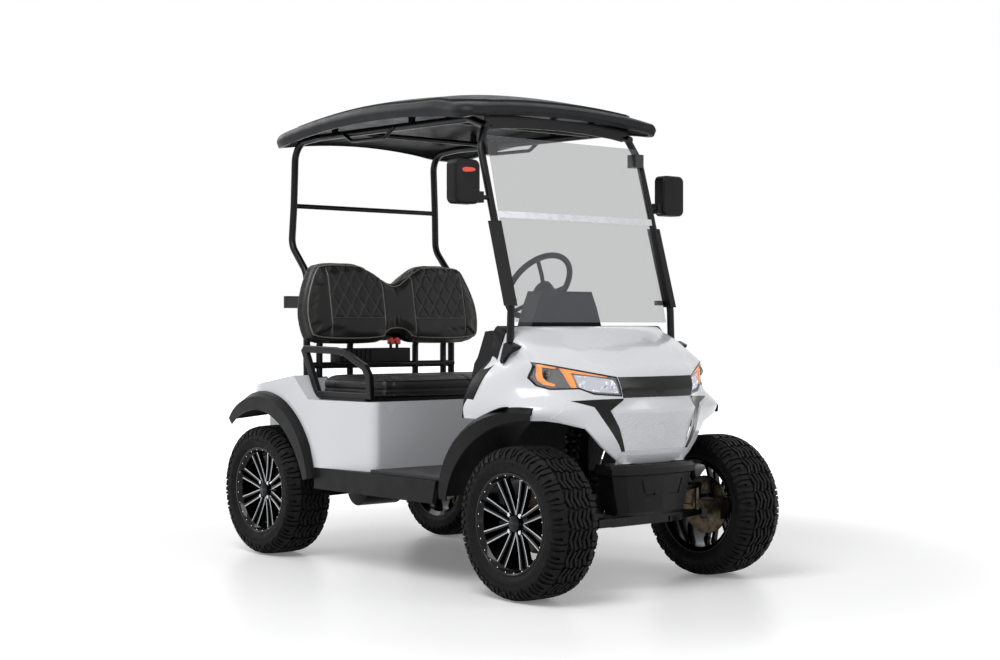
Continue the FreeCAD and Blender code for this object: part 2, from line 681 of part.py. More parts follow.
def backrestFrame():
    x, r = S.seatPostX, S.seatPostRadius
    depth = (S.backThickness + 14) / cos(radians(S.backLean)) + gap + r - 3
    pieces = [backShell(), rod([point(x, -420, 850), point(x, 420, 850)], r)]
    post = rod(railRoute(), S.postRadius + gap, 90)
    for y in (-360, -190, 190, 360):
        pieces.append(rod([point(x, y, rearTop(x) - 6), point(x, y, 935),
                           point(backFace(1010) - depth, y, 1010),
                           point(backFace(1150) - depth, y, 1150)], r, 30))
        pieces.append(deckFoot(x, y, 28, 26, 6))
    shape = joined(pieces).cut([rearSolid(-gap), post, mirrored(post)])
    feature("backrest_frame", max(shape.Solids, key=lambda s: s.Volume))


def deckFoot(x, y, reach, half, thick):
    # a plate lying along the rear deck's slope
    return prism([point(x - reach, y - half, rearTop(x - reach) + gap),
                  point(x + reach, y - half, rearTop(x + reach) + gap),
                  point(x + reach, y - half, rearTop(x + reach) + thick),
                  point(x - reach, y - half, rearTop(x - reach) + thick)], LEFT * 2 * half)


def rearTop(x):
    # height of the rear deck at x
    share = (x - S.deckRearX) / (S.deckFrontX - S.deckRearX)
    return S.deckRearZ + share * (S.deckFrontZ - S.deckRearZ)


def backShell():
    low = S.backBottom + 16
    outline = [(-396, low), (396, low), (396, low + 250), (350, low + 320), (190, low + 320),
               (90, low + 250), (-90, low + 250), (-190, low + 320), (-350, low + 320),
               (-396, low + 250)]
    slab = prism([point(0, y, z) for y, z in outline], Vector(-14, 0, 0))
    slab.rotate(Vector(0, 0, S.backBottom), LEFT, -S.backLean)
    depth = S.backThickness / cos(radians(S.backLean)) + gap
    slab.translate(Vector(S.backFaceX - depth, 0, 0))
    return slab


def beltBuckles():
    back = S.seatPostX + S.seatPostRadius + gap
    low = S.backBottom - 90
    cover = block(back, back + 70, -310, 100, low, low + 70)
    cover = cover.makeFillet(10, [e for e in cover.Edges if e.CenterOfMass.x > back + 69])
    ribs = [block(back + 10, back + 74, y, y + 8, low + 8, low + 62) for y in range(-292, -110, 26)]
    pieces = [cover] + ribs
    for y in (-10, 26):
        pieces.append(Part.makeCylinder(7, 32, point(back + 58, y, low + 60)))
        pieces.append(block(back + 50, back + 68, y - 13, y + 13, low + 88, low + 116))
    feature("belt_buckles", joined(pieces))


def armrests():
    y = S.cushionHalf + S.armRestReach
    low = S.podTop + 22
    w = S.armRestWidth / 2
    outer = [(-104, low - 12), (-112, 818), (-150, 866), (-300, 928), (-380, 938), (-606, 944),
             (-628, 922), (-516, low - 12)]
    inner = [(-138, low + 14), (-142, 806), (-170, 842), (-305, 900), (-382, 908), (-585, 912),
             (-498, low + 14)]
    plate = prism([point(x, y - w, z) for x, z in outer], LEFT * 2 * w)
    hole = prism([point(x, y - w - 1, z) for x, z in inner], LEFT * (2 * w + 2))
    loop = plate.cut(hole)
    loop = loop.makeFillet(5, [e for e in loop.Edges if abs(e.Vertexes[0].Y - e.Vertexes[-1].Y) < 1])
    foot = block(-470, -140, y - w, y + w, S.podTop + gap, low - 11)
    shape = joined([loop, foot]).cut(rearSolid(-gap))
    feature("armrests", pair(max(shape.Solids, key=lambda s: s.Volume)))


def latchTab():
    return block(S.podFront - 20, S.podFront + 9, 55, 105, S.podTop + gap, S.podTop + gap + 5)


# canopy: weldment of rear posts and side rails, front pillars, moulded roof
roofStations = (
    # share of the length, lower edge, lip height, crown height, share of the width
    (0, 1862, 30, 1904, 0.70), (0.018, 1846, 52, 1922, 0.84), (0.055, 1838, 62, 1944, 0.94),
    (0.11, 1840, 66, 1966, 0.99), (0.22, 1860, 65, 1990, 1), (0.38, 1881, 64, 2015, 1),
    (0.56, 1888, 64, 2024, 1), (0.75, 1880, 62, 2008, 1), (0.90, 1861, 62, 1977, 1),
    (0.965, 1848, 60, 1954, 1), (0.988, 1852, 50, 1940, 0.975), (1, 1864, 30, 1926, 0.94))


def roofWire(station, wall, gain):
    share, low, lip, crown, wide = station
    rise = (crown - low - lip) * S.roofCrown / 78
    span, middle = S.roofFront - S.roofRear, (S.roofFront + S.roofRear) / 2
    x = S.roofRear + share * span
    x += (middle - x) * 2 * wall / span * (S.lipThickness / S.roofWall)
    half = S.roofHalf * wide - wall * S.lipThickness / S.roofWall
    low, edge = low + gain, low + lip + gain - wall
    inner = half - 36
    over = Part.BSplineCurve()
    over.interpolate([point(x, inner, edge), point(x, 0.62 * half, edge + 0.62 * rise),
                      point(x, 0.3 * half, edge + 0.92 * rise), point(x, 0, edge + rise),
                      point(x, -0.3 * half, edge + 0.92 * rise),
                      point(x, -0.62 * half, edge + 0.62 * rise), point(x, -inner, edge)])
    base = low - (60 if wall else 0)
    skirt = low + 0.38 * lip - wall
    right = Part.Arc(point(x, half, skirt), point(x, half - 9, edge - 0.22 * lip),
                     point(x, inner, edge)).toShape()
    left = Part.Arc(point(x, -inner, edge), point(x, -half + 9, edge - 0.22 * lip),
                    point(x, -half, skirt)).toShape()
    under = Part.Arc(point(x, -half + 10, base), point(x, 0, base + (1 if wall else 34)),
                     point(x, half - 10, base)).toShape()
    flanks = [Part.LineSegment(point(x, -half, skirt), point(x, -half + 10, base)).toShape(),
              Part.LineSegment(point(x, half - 10, base), point(x, half, skirt)).toShape()]
    return Part.Wire([right, over.toShape(), left, flanks[0], under, flanks[1]])


def roofSolid(wall=0, gain=0):
    return Part.makeLoft([roofWire(station, wall, gain) for station in roofStations], True, False)


def railRoute():
    y, top = S.railTopY, S.railTopZ
    return [point(S.postX, S.postY, rearTop(S.postX) - 8), point(S.postX, S.postY, S.postKneeZ),
            point(S.postUpperX, S.postY, S.postKneeZ + 130),
            point(S.postUpperX + 6, y + 12, S.crossbarZ), point(S.postUpperX + 4, y + 2, top - 12),
            point(S.postUpperX + 190, y, top), point(S.railFrontX - 120, y, top - 12),
            point(S.railFrontX - 6, y, S.railTopZ - 54)]


def roofFrame():
    y, top = S.railTopY, S.railTopZ
    post = rod(railRoute(), S.postRadius, 90)
    foot = deckFoot(S.postX, S.postY, 38, 34, 7)
    pieces = [post, mirrored(post), foot, mirrored(foot)]
    for x, z in ((S.postUpperX + 6, S.crossbarZ), (-420, top - 1.5), (250, top - 10)):
        reach = y + (12 if z == S.crossbarZ else 0)
        pieces.append(rod([point(x, -reach, z), point(x, reach, z)], 11))
    under = roofSolid(S.roofWall + gap).fuse(block(-600, 300, -480, 480, 1800, 1915))
    for side in (-1, 1):
        # a grab handle under each rail
        pieces.append(rod([point(x, side * (y + 14), z) for x, z in
                           ((-470, top - 6), (-410, top - 40), (-176, top - 44), (-100, top - 4))],
                          8, 24))
    visor = prism([point(S.railFrontX - 20, v, z) for v, z in
                   ((-y, 1840), (-0.92 * y, 1838), (-0.92 * y, 1816), (-0.75 * y, 1824),
                    (-0.38 * y, 1833), (0, 1836), (0.38 * y, 1833), (0.75 * y, 1824),
                    (0.92 * y, 1816), (0.92 * y, 1838), (y, 1840), (y, 1880), (-y, 1880))],
                  Vector(-6, 0, 0))
    pieces.append(visor.common(under))
    for x in (-560, 0, 250):
        for side in (-1, 1):
            pieces.append(Part.makeCylinder(15, 300, point(x, side * y, top - 10)).common(under))
    feature("roof_frame", joined(pieces).cut(rearSolid(-gap)))


def roofPanel():
    # two raised fields on the crown, with a notch between them at the front corners
    x0, x1, y = S.roofRear, S.roofFront, S.roofHalf
    plan = [(x0 + 150, -y + 150), (x0 + 210, -y + 62), (x1 - 150, -y + 48), (x1 - 112, -y + 96),
            (x1 - 74, -y + 118), (x1 - 40, -y + 170)]
    plan += [(x, -v) for x, v in reversed(plan)]
    field = prism([point(x, v, 1850) for x, v in plan], UP * 300)
    raised = roofSolid(0, S.roofStep).common(field)
    shell = roofSolid().fuse(raised).cut(roofSolid(S.roofWall))
    feature("roof", max(shell.Solids, key=lambda s: s.Volume))


def pillarX(z):
    # the raked part of the pillar, between its two bends
    share = (z - S.pillarBendZ) / (S.pillarTopZ - S.pillarBendZ)
    return S.pillarFootX + (S.pillarTopX - S.pillarFootX) * share


def pillarPoints():
    return [point(S.pillarFootX, S.pillarY + 6, S.pillarFootZ),
            point(S.pillarFootX, S.pillarY, S.pillarBendZ),
            point(S.pillarTopX, S.pillarY, S.pillarTopZ),
            point(S.railFrontX - 21, S.railTopY + 2, S.railTopZ - 55)]


def frontPillars():
    tube = rod(pillarPoints(), S.pillarRadius, 90)
    foot = prism([point(x, S.pillarY - 4, z) for x, z in
                  ((668, 897), (672, 884), (684, 888), (694, 905), (708, 921), (741, 941),
                   (744, 951), (706, 966), (690, 962), (680, 935))], LEFT * 46)
    shape = joined([tube, foot, pillarSleeve()])
    shape = shape.cut([cowlSolid(-gap), edgeBand(S.edgeTrimProud + gap, gap),
                       rod(railRoute(), S.postRadius + gap, 90)])
    feature("front_pillars", pair(max(shape.Solids, key=lambda s: s.Volume)))


def pillarSleeve(grow=0):
    wires = []
    for z in (S.pillarBendZ + 8 - grow, S.glassHingeZ - 27 + grow):
        x, y, deep, wide = pillarX(z), S.pillarY, 22 + grow, 16 + grow
        wires.append(Part.makePolygon([point(x - deep, y - wide, z), point(x + deep, y - wide, z),
                                       point(x + deep, y + wide, z), point(x - deep, y + wide, z),
                                       point(x - deep, y - wide, z)]))
    return Part.makeLoft(wires, True, True)


def glassX(z):
    return S.glassBottomX - S.glassSlope * (z - S.glassBottomZ)


def pane(low, high):
    thick = S.glassThickness
    return prism([point(glassX(low), -S.glassHalf, low), point(glassX(high), -S.glassHalf, high),
                  point(glassX(high) - thick, -S.glassHalf, high),
                  point(glassX(low) - thick, -S.glassHalf, low)], LEFT * 2 * S.glassHalf)


def windshield():
    hinge = S.hingeHeight / 2
    feature("windshield_lower", pane(S.glassBottomZ, S.glassHingeZ - hinge - gap))
    feature("windshield_upper", pane(S.glassHingeZ + hinge + gap, S.glassTopZ))
    low, high = S.glassHingeZ - hinge, S.glassHingeZ + hinge
    reach = S.pillarY - 4
    rail = prism([point(glassX(low) + 3, -reach, low), point(glassX(high) + 3, -reach, high),
                  point(glassX(high) - 10, -reach, high),
                  point(glassX(low) - 10, -reach, low)], LEFT * 2 * reach)
    tube = rod(pillarPoints(), S.pillarRadius + gap, 90)
    sleeve = pillarSleeve(gap)
    rail = rail.cut([tube, mirrored(tube), sleeve, mirrored(sleeve)])
    rail = min(rail.Solids, key=lambda s: abs(s.CenterOfMass.y))
    z = S.pillarBendZ + 26
    x = glassX(z + 10) - S.glassThickness - gap
    clip = block(x - 16, x, 392, reach, z - 10, z + 10).cut([tube, sleeve])
    clip = min(clip.Solids, key=lambda s: s.CenterOfMass.y)
    x = glassX(S.glassTopZ - 52)
    bracket = block(x - 36, x + 14, 388, 436, S.glassTopZ - 80, S.glassTopZ - 24)
    edge = prism([point(glassX(v) + d, -S.glassHalf - gap, v) for v, d in
                  ((1600, gap), (1800, gap), (1800, -S.glassThickness - gap),
                   (1600, -S.glassThickness - gap))], LEFT * 2 * (S.glassHalf + gap))
    bracket = bracket.cut([tube, sleeve, edge])
    clips = [clip, max(bracket.Solids, key=lambda s: s.Volume)]
    feature("windshield_fittings", Part.makeCompound([rail] + clips + [mirrored(c) for c in clips]))


def mirrors():
    x, y, z = S.mirrorX, S.mirrorInner, S.mirrorZ
    w, h, d = S.mirrorWidth, S.mirrorHeight, S.mirrorDepth
    housing = block(x - d, x, y, y + w, z, z + h)
    housing = housing.makeFillet(26, [e for e in housing.Edges
                                      if abs(e.Vertexes[0].X - e.Vertexes[-1].X) > d - 1])
    housing = housing.makeFillet(11, [e for e in housing.Edges if e.CenterOfMass.x > x - 0.1])
    pocket = block(x - d - 1, x - d + 5, y + 12, y + w - 12, z + 12, z + h - 12)
    pocket = pocket.makeFillet(16, [e for e in pocket.Edges
                                    if abs(e.Vertexes[0].X - e.Vertexes[-1].X) > 5])
    housing = housing.cut(pocket)
    level = z + 30
    tube = rod(pillarPoints(), S.pillarRadius + gap, 90)
    arm = rod([point(pillarX(level), S.pillarY, level), point(x - 26, y + 20, level)], 9).cut(tube)
    clamp = block(x - 48, x - 12, y - 26, y + 2, level - 22, level + 22)
    clamp = clamp.cut(rod(pillarPoints(), S.pillarRadius + 6, 90))
    feature("mirrors", pair(joined([housing, clamp, max(arm.Solids, key=lambda s: s.Volume)])))


# dash, column and rack
def dashboard():
    profile = [(400, 700), (440, 704), (560, 780), (610, 1000), (560, 1012), (520, 1008),
               (474, 905), (452, 880)]
    slab = prism([point(x, -436, z) for x, z in profile], LEFT * 872)
    inside = cowlSolid(S.panelWall + gap, 200)
    back = block(380, 545, -436, 436, 690, 1020)
    slab = slab.common(inside.fuse(back))
    hood = prism([point(440, -206, 1000), point(440, 206, 1000), point(440, 172, 1100),
                  point(440, 140, 1172), point(440, -140, 1172), point(440, -172, 1100)],
                 Vector(85, 0, 0))
    face = prism([point(430, -160, 1030), point(430, 160, 1030), point(430, 128, 1150),
                  point(430, -128, 1150)], Vector(22, 0, 0))
    glovebox = block(440, 540, -380, -60, 800, 880)
    hole = Part.makeCylinder(S.columnRadius + gap, 700, wheelCentre() - columnAxis() * 40,
                             columnAxis() * -1)
    shape = joined([slab, hood]).cut([face, glovebox, hole])
    feature("dashboard", max(shape.Solids, key=lambda s: s.Volume))


def columnAxis():
    return Vector(-cos(radians(S.columnAngle)), 0, sin(radians(S.columnAngle)))


def wheelCentre():
    return point(S.steeringX, S.steeringY, S.steeringZ)


def steeringColumn():
    axis, centre = columnAxis(), wheelCentre()
    head = centre - axis * 62
    foot = centre - axis * 640
    tube = Part.makeCylinder(S.columnRadius, 578, foot, axis)
    shroud = Part.makeCone(S.columnRadius + 16, S.columnRadius + 22, 120, head - axis * 120, axis)
    bearing = Part.makeCylinder(10.6, 200, head - axis * 40, axis)
    rackX = axleX - S.armLength
    rackZ = axleZ + 22
    low, knee = shaftEnds()
    shaft = rod([foot + axis * 20, knee, low], 11, 40)
    housing = Part.makeCylinder(S.rackRadius, 2 * S.rackHalfLength,
                                point(rackX, -S.rackHalfLength, rackZ), LEFT)
    bore = Part.makeCylinder(S.rackBore, 2 * S.rackHalfLength + 2,
                             point(rackX, -S.rackHalfLength - 1, rackZ), LEFT)
    stem = block(rackX - 16, rackX + 16, 92, 128, rackZ, rackZ + 34)
    mounts = [block(rackX - 12, rackX + 12, y - 14, y + 14, rackZ + 8, frameBottom + 12 - gap)
              for y in (-130, 60)]
    shape = joined([tube, shroud, shaft, housing, stem] + mounts).cut([bore, bearing])
    feature("steering_column", shape)


def steeringWheel():
    axis, centre = columnAxis(), wheelCentre()
    r, grip = S.steeringWheelDiameter / 2 - S.steeringGrip, S.steeringGrip
    rim = Part.makeTorus(r, grip, Vector(), UP)
    hub = Part.makeCylinder(46, 26, point(0, 0, -52))
    shaft = Part.makeCylinder(10, 60, point(0, 0, -100))
    spokes = [rod([point(20 * cos(a), 20 * sin(a), -42), point(90 * cos(a), 90 * sin(a), -30),
                   point(r * cos(a), r * sin(a), 0)], 9, 40)
              for a in (radians(90), radians(210), radians(330))]
    shape = joined([rim, hub, shaft] + spokes)
    turn = FreeCAD.Rotation(UP, axis)
    shape.Placement = FreeCAD.Placement(centre, turn)
    feature("steering_wheel", shape)


def pedals():
    floor = S.frameTop + gap + S.floorThickness + gap
    pieces = []
    for y, width in ((150, 84), (262, 56)):
        low = y - width / 2
        pad = prism([point(366, low, floor + 62), point(376, low, floor + 58),
                     point(414, low, floor + 150), point(404, low, floor + 154)], LEFT * width)
        stem = rod([point(378, y, floor + 84), point(412, y, floor + 60), point(412, y, floor)], 7)
        pieces.append(joined([pad, stem]))
    feature("pedals", Part.makeCompound(pieces))


# suspension, axles and shocks
def frontSuspension():
    t, outer = S.armThickness, S.kingpinY
    outboard = S.railY + S.railWidth / 2 + gap
    arms = []
    for z, reachX, inner in ((S.lowerArmZ, S.armReachX, 150), (S.upperArmZ, S.armReachX - 25,
                                                               outboard)):
        pts = [(axleX - reachX, inner), (axleX + reachX, inner), (axleX + reachX, inner + 22),
               (axleX + 18, outer - 4), (axleX - 18, outer - 4), (axleX - reachX, inner + 22)]
        arm = prism([point(x, y, z - t / 2) for x, y in pts], UP * t)
        window = [(axleX - reachX + 26, inner + 22), (axleX + reachX - 26, inner + 22),
                  (axleX, outer - 150)]
        if z == S.lowerArmZ:
            arm = arm.cut(prism([point(x, y, z - t) for x, y in window], UP * 3 * t))
        else:
            low, high = frontShockEnds()
            arm = arm.cut(Part.makeCylinder(S.springRadius + 5, 400, low, high - low))
        arms.append(joined([arm, Part.makeCylinder(20, t, point(axleX, outer, z - t / 2))]))
    carrier = block(axleX - 100, axleX + 100, -166, 166, S.lowerArmZ - 12, S.lowerArmZ + 22)
    posts = [block(x - 16, x + 16, side * S.railY - 22, side * S.railY + 22,
                   S.lowerArmZ + t / 2 + 2, frameBottom - gap)
             for x in (axleX - 84, axleX + 52) for side in (-1, 1)]
    plates = [block(x - 16, x + 16, side * 190 - 45, side * 190 + 35, S.lowerArmZ - t / 2,
                    S.lowerArmZ + 22) for x in (axleX - 84, axleX + 84) for side in (-1, 1)]
    lower = joined([carrier, arms[0], mirrored(arms[0])] + posts + plates)
    feature("front_suspension", Part.makeCompound([lower, arms[1], mirrored(arms[1])]))


def frontShockEnds():
    return (point(axleX, 300, S.lowerArmZ + S.armThickness / 2 + 4),
            point(axleX - S.towerBack, S.railY + 30, S.towerTop - 20))


def coilover(low, high):
    # damper body and rod with the coils as rings of one turned outline
    length = (high - low).Length
    start, end, turns = 0.24 * length, length - S.shockStub - 12, 7
    pitch = (end - start) / turns
    outline = [(0, 0), (S.shockRadius, 0), (S.shockRadius, start - 6), (S.springRadius, start - 6),
               (S.springRadius, start)]
    for i in range(turns):
        outline += [(S.springRadius - 8, start + (i + 0.25) * pitch),
                    (S.springRadius - 1, start + (i + 0.5) * pitch)]
    outline += [(S.springRadius - 8, end), (S.springRadius, end), (S.springRadius, end + 10),
                (S.shockRadius - 4, end + 10), (S.shockRadius - 4, length), (0, length)]
    face = Part.Face(Part.makePolygon([point(r, 0, z) for r, z in outline + [outline[0]]]))
    shape = face.revolve(Vector(), UP, 360)
    shape.Placement = FreeCAD.Placement(low, FreeCAD.Rotation(UP, high - low))
    return shape


def coilovers():
    towerX, half = axleX - S.towerBack, S.crossWidth / 2 + gap
    front = coilover(*frontShockEnds())
    tower = block(towerX - half, towerX + half, S.railY - S.railWidth / 2 - gap,
                  S.railY + S.railWidth / 2 + gap, S.frameTop, S.towerTop + 40)
    arm = block(axleX - 60, axleX + 60, 200, 400, 100, S.lowerArmZ + S.armThickness / 2 + gap)
    front = max(front.cut([tower, arm]).Solids, key=lambda s: s.Volume)
    low, high = rearShockEnds()
    rear = coilover(low, high).cut(Part.makeCylinder(S.axleRadius + gap, 800,
                                                     point(-axleX, -400, axleZ), LEFT))
    feature("coil_overs", Part.makeCompound([front, mirrored(front), rear, mirrored(rear)]))


def rearAxle():
    hubY = S.halfTrack - S.discInset - 12
    tube = Part.makeCylinder(S.axleRadius, 2 * hubY, point(-axleX, -hubY, axleZ), LEFT)
    stub = Part.makeCylinder(S.spindleRadius, 2 * S.halfTrack + 40,
                             point(-axleX, -S.halfTrack - 20, axleZ), LEFT)
    diff = Part.makeSphere(S.diffRadius, point(-axleX, 40, axleZ - 4))
    motor = Part.makeCylinder(S.motorRadius, S.motorLength, point(-axleX + 122, -150, axleZ - 10), LEFT)
    gear = block(-axleX, -axleX + 150, 20, 70, axleZ - 60, axleZ + 44)
    pieces = [tube, stub, diff, motor, gear]
    for side in (-1, 1):
        arm = bar([point(-axleX - 20, side * 300, axleZ - 42), point(-430, side * 300, 312)],
                  Part.makePolygon([point(-axleX - 20, side * 300 - 26, axleZ - 56),
                                    point(-axleX - 20, side * 300 + 26, axleZ - 56),
                                    point(-axleX - 20, side * 300 + 26, axleZ - 30),
                                    point(-axleX - 20, side * 300 - 26, axleZ - 30),
                                    point(-axleX - 20, side * 300 - 26, axleZ - 56)]), 30)
        hanger = block(-446, -404, side * 300 - 22, side * 300 + 22, 290, S.frameTop - 68 - gap)
        pieces += [arm, hanger]
        hub = Part.makeCylinder(52, 12, point(-axleX, side * (hubY - 6) - 6, axleZ), LEFT)
        pieces.append(hub)
    feature("rear_axle", joined(pieces))


def batteryPack():
    pack = box("BatteryPack", "batteryFront - batteryRear", "2 * batteryHalf",
               "batteryTop - frameTop - seatGap", "batteryRear", "-batteryHalf",
               "frameTop + seatGap")
    keep(pack, "battery_pack")


def tailLamps():
    outline = [(-362, 612), (-262, 606), (-250, 640), (-262, 676), (-362, 684)]
    shell = rearSolid(-2).cut(rearSolid(24))
    lamp = shell.common(prism([point(-1300, y, z) for y, z in outline], FORWARD * 420))
    feature("tail_lamps", pair(lamp))
    body = parts["rear_body"]
    tool = prism([point(-1300, y, z) for y, z in outline], FORWARD * 420)
    trimmed = body.Shape.cut([tool, mirrored(tool)])
    body.Shape = max(trimmed.Solids, key=lambda s: s.Volume)


def rearBumper():
    z, high, half = S.rearBumperZ, S.rearBumperHeight, S.rearBumperHalf
    bar_ = block(S.tailX - 14, S.frameRear - 6, -half, half, z, z + high)
    bar_ = bar_.makeFillet(12, [e for e in bar_.Edges if e.CenterOfMass.x < S.tailX - 13])
    bracket = block(S.frameRear - 6, S.frameRear + 30, 160, 240, S.frameTop + gap, z + high)
    shape = joined([bar_, bracket, mirrored(bracket)])
    feature("rear_bumper", shape)


def bagRack():
    y, z = S.postY, 1112
    w = 23.5
    arm = block(-968 + w - 1, S.postX - S.postRadius + 2, y - 40, y - 40 + w, z, z + 50)
    plate = block(S.postX - 30, S.postX + 12, y - 40, y - S.postRadius - gap, z, z + 50)
    cross = block(-968, -968 + w, -y + 16, y - 16, z, z + 56)
    slot = block(-980, -900, -200, 200, z + 18, z + 40)
    shape = joined([arm, plate, mirrored(arm), mirrored(plate), cross]).cut(slot)
    feature("bag_rack", shape)


# wheels: rim with split spokes, hub and disc; tyre with lugs
def rimShape():
    # outboard is +Y, the wheel's middle plane at y = 0
    half, flange = S.rimWidth / 2, S.rimDiameter / 2
    wall = S.barrelWall
    profile = [(flange - 14 - wall, -half + 14), (flange - 4, -half), (flange, -half),
               (flange, -half + 9), (flange - 12, -half + 20), (flange - 12, half - 24),
               (flange, half - 10), (flange, half), (flange - 8, half),
               (flange - 14 - wall, half - 18), (flange - 14 - wall - 2, 0)]
    wire = Part.makePolygon([point(r, y, 0) for r, y in profile + [profile[0]]])
    barrel = Part.Face(wire).revolve(Vector(), LEFT, 360)
    face = half - 44
    hub = Part.makeCylinder(S.hubRadius, S.hubLength, point(0, face - 30, 0), LEFT)
    cap = Part.makeCylinder(30, 18, point(0, face + 20, 0), LEFT)
    pieces = [barrel, hub, cap]
    for i in range(int(S.spokeCount)):
        for lean in (-7.5, 7.5):
            spoke = prism([point(34, face - 14, -9), point(34, face + 20, -9),
                           point(flange - 18, half - 8, -9), point(flange - 18, half - 34, -9)],
                          UP * 18)
            spoke.rotate(point(0, 0, 0), LEFT, i * 360 / S.spokeCount + lean)
            pieces.append(spoke)
    disc = Part.makeCylinder(S.discRadius, S.discThickness, point(0, -S.discInset, 0), LEFT)
    bell = Part.makeCylinder(58, face - 20 + S.discInset, point(0, -S.discInset, 0), LEFT)
    bore = Part.makeCylinder(S.spindleRadius + 0.6, half + 36, point(0, -half - 10, 0), LEFT)
    return joined(pieces + [disc, bell]).cut(bore)


def ringAt(profile, angle):
    return [point(q * cos(angle), y, q * sin(angle)) for q, y in profile]


def tyreShape():
    # a carcass of flat facets that carries two staggered rows of shoulder lugs
    half, count = S.tyreWidth / 2, int(S.lugCount)
    reach = pi / count * 0.58
    bead = (S.rimDiameter / 2 + gap) / cos(pi / count)
    r = S.tyreDiameter / 2 / cos(pi / count - reach)
    base = r - S.treadDepth
    slope = [(bead, half - 13), (r - 66, half - 1), (base - 30, half - 5), (base, half - 42)]
    profile = [(q, -y) for q, y in slope] + [(base + 2, 0)] + slope[::-1]
    rings = [ringAt(profile, 2 * pi * (i + 0.5) / count) for i in range(count)]
    faces = []
    for one, two in zip(rings, rings[1:] + rings[:1]):
        for j in range(len(profile)):
            k = (j + 1) % len(profile)
            faces.append(Part.Face(Part.makePolygon([one[j], one[k], two[k], two[j], one[j]])))
    carcass = Part.Solid(Part.Shell(faces))
    lug = [(base - 5, 22), (r, 22), (r, half - 46), (r - 27, half), (base - 30, half - 5),
           (base - 20, half - 40)]
    lugs = []
    for i in range(count):
        for side in (-1, 1):
            middle = 2 * pi * (i + 0.5 * (side > 0)) / count
            one = ringAt([(q, side * y) for q, y in lug], middle - reach)
            two = ringAt([(q, side * y) for q, y in lug], middle + reach)
            lugs.append(Part.makeLoft([Part.makePolygon(ring + [ring[0]]) for ring in (one, two)],
                                      True, True))
    return joined([carcass] + lugs)


def wheels():
    rim, tyre = rimShape(), tyreShape()
    for end, x in (("front", axleX), ("rear", -axleX)):
        for name, side in SIDES:
            place = FreeCAD.Placement(point(x, side * S.halfTrack, axleZ), FreeCAD.Rotation())
            for label, shape in (("rim", rim), ("tyre", tyre)):
                copy = shape if side > 0 else mirrored(shape)
                copy = copy.copy()
                thing = feature("%s_%s_%s" % (label, end, name), copy)
                thing.Placement = place


def knuckles():
    for name, side in SIDES:
        y = S.kingpinY
        low = S.lowerArmZ + S.armThickness / 2 + gap
        high = S.upperArmZ - S.armThickness / 2 - gap
        post = Part.makeCylinder(S.kingpinRadius, high - low, point(axleX, y, low))
        spindle = Part.makeCylinder(S.spindleRadius, S.halfTrack + 20 - y, point(axleX, y, axleZ),
                                    LEFT)
        arm = prism([point(axleX - S.armLength - 13, y - 26, axleZ - 9),
                     point(axleX - S.armLength + 13, y - 32, axleZ - 9),
                     point(axleX, y - 14, axleZ - 9), point(axleX, y + 6, axleZ - 9),
                     point(axleX - S.armLength, y - 6, axleZ - 9)], UP * 12)
        discY = S.halfTrack - S.discInset
        clamp = block(axleX + S.discRadius - 58, axleX + S.discRadius + 12, y - 4,
                      discY + S.discThickness + 18, axleZ - 46, axleZ + 40)
        slot = Part.makeCylinder(S.discRadius + 4, S.discThickness + 5,
                                 point(axleX, discY - 2.5, axleZ), LEFT)
        bracket = block(axleX, axleX + S.discRadius + 8, y - 12, y + 6, axleZ - 8, axleZ + 26)
        clamp = clamp.cut(slot)
        shape = joined([post, spindle, arm, bracket, clamp])
        feature("knuckle_" + name, shape if side > 0 else mirrored(shape))


def tieRods():
    x, z, r = axleX - S.armLength, axleZ + 22, S.tieRodRadius
    y = S.kingpinY - 20
    shaft = Part.makeCylinder(r, 2 * y, point(x, -y, z), LEFT)
    eyes = [Part.makeCylinder(13, 28, point(x, side * y, z - 18.5)) for side in (-1, 1)]
    feature("tie_rods", joined([shaft] + eyes))


for make in (chassisFrame, floorPan, sideSills, edgeTrim, frontCowl, frontFittings, frontBumper, rearBody,
             bagWell, frontFlares, rearFlares, seatBase, backrest, backrestFrame, beltBuckles,
             armrests, roofFrame, roofPanel, frontPillars, windshield, mirrors, dashboard,
             steeringColumn, steeringWheel, pedals, frontSuspension, coilovers, rearAxle,
             batteryPack, tailLamps, rearBumper, bagRack, wheels, knuckles, tieRods):
    make()
doc.recompute()

for thing in doc.Objects:
    if "Invalid" in thing.State or "Error" in thing.State:
        raise RuntimeError("%s did not rebuild" % thing.Name)
for label, thing in parts.items():
    if thing.Shape.isNull() or not thing.Shape.isValid():
        raise RuntimeError("%s has no valid shape" % label)

os.makedirs("parts", exist_ok=True)
for label, thing in parts.items():
    shape = thing.Shape
    print("%-22s solids %d, %.0f cm3" % (label, len(shape.Solids), shape.Volume / 1000))
    shape.exportStep("parts/%s.step" % label)
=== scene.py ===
import math
import random

import bmesh
import bpy
from mathutils import Matrix, Vector, geometry
from mathutils.bvhtree import BVHTree


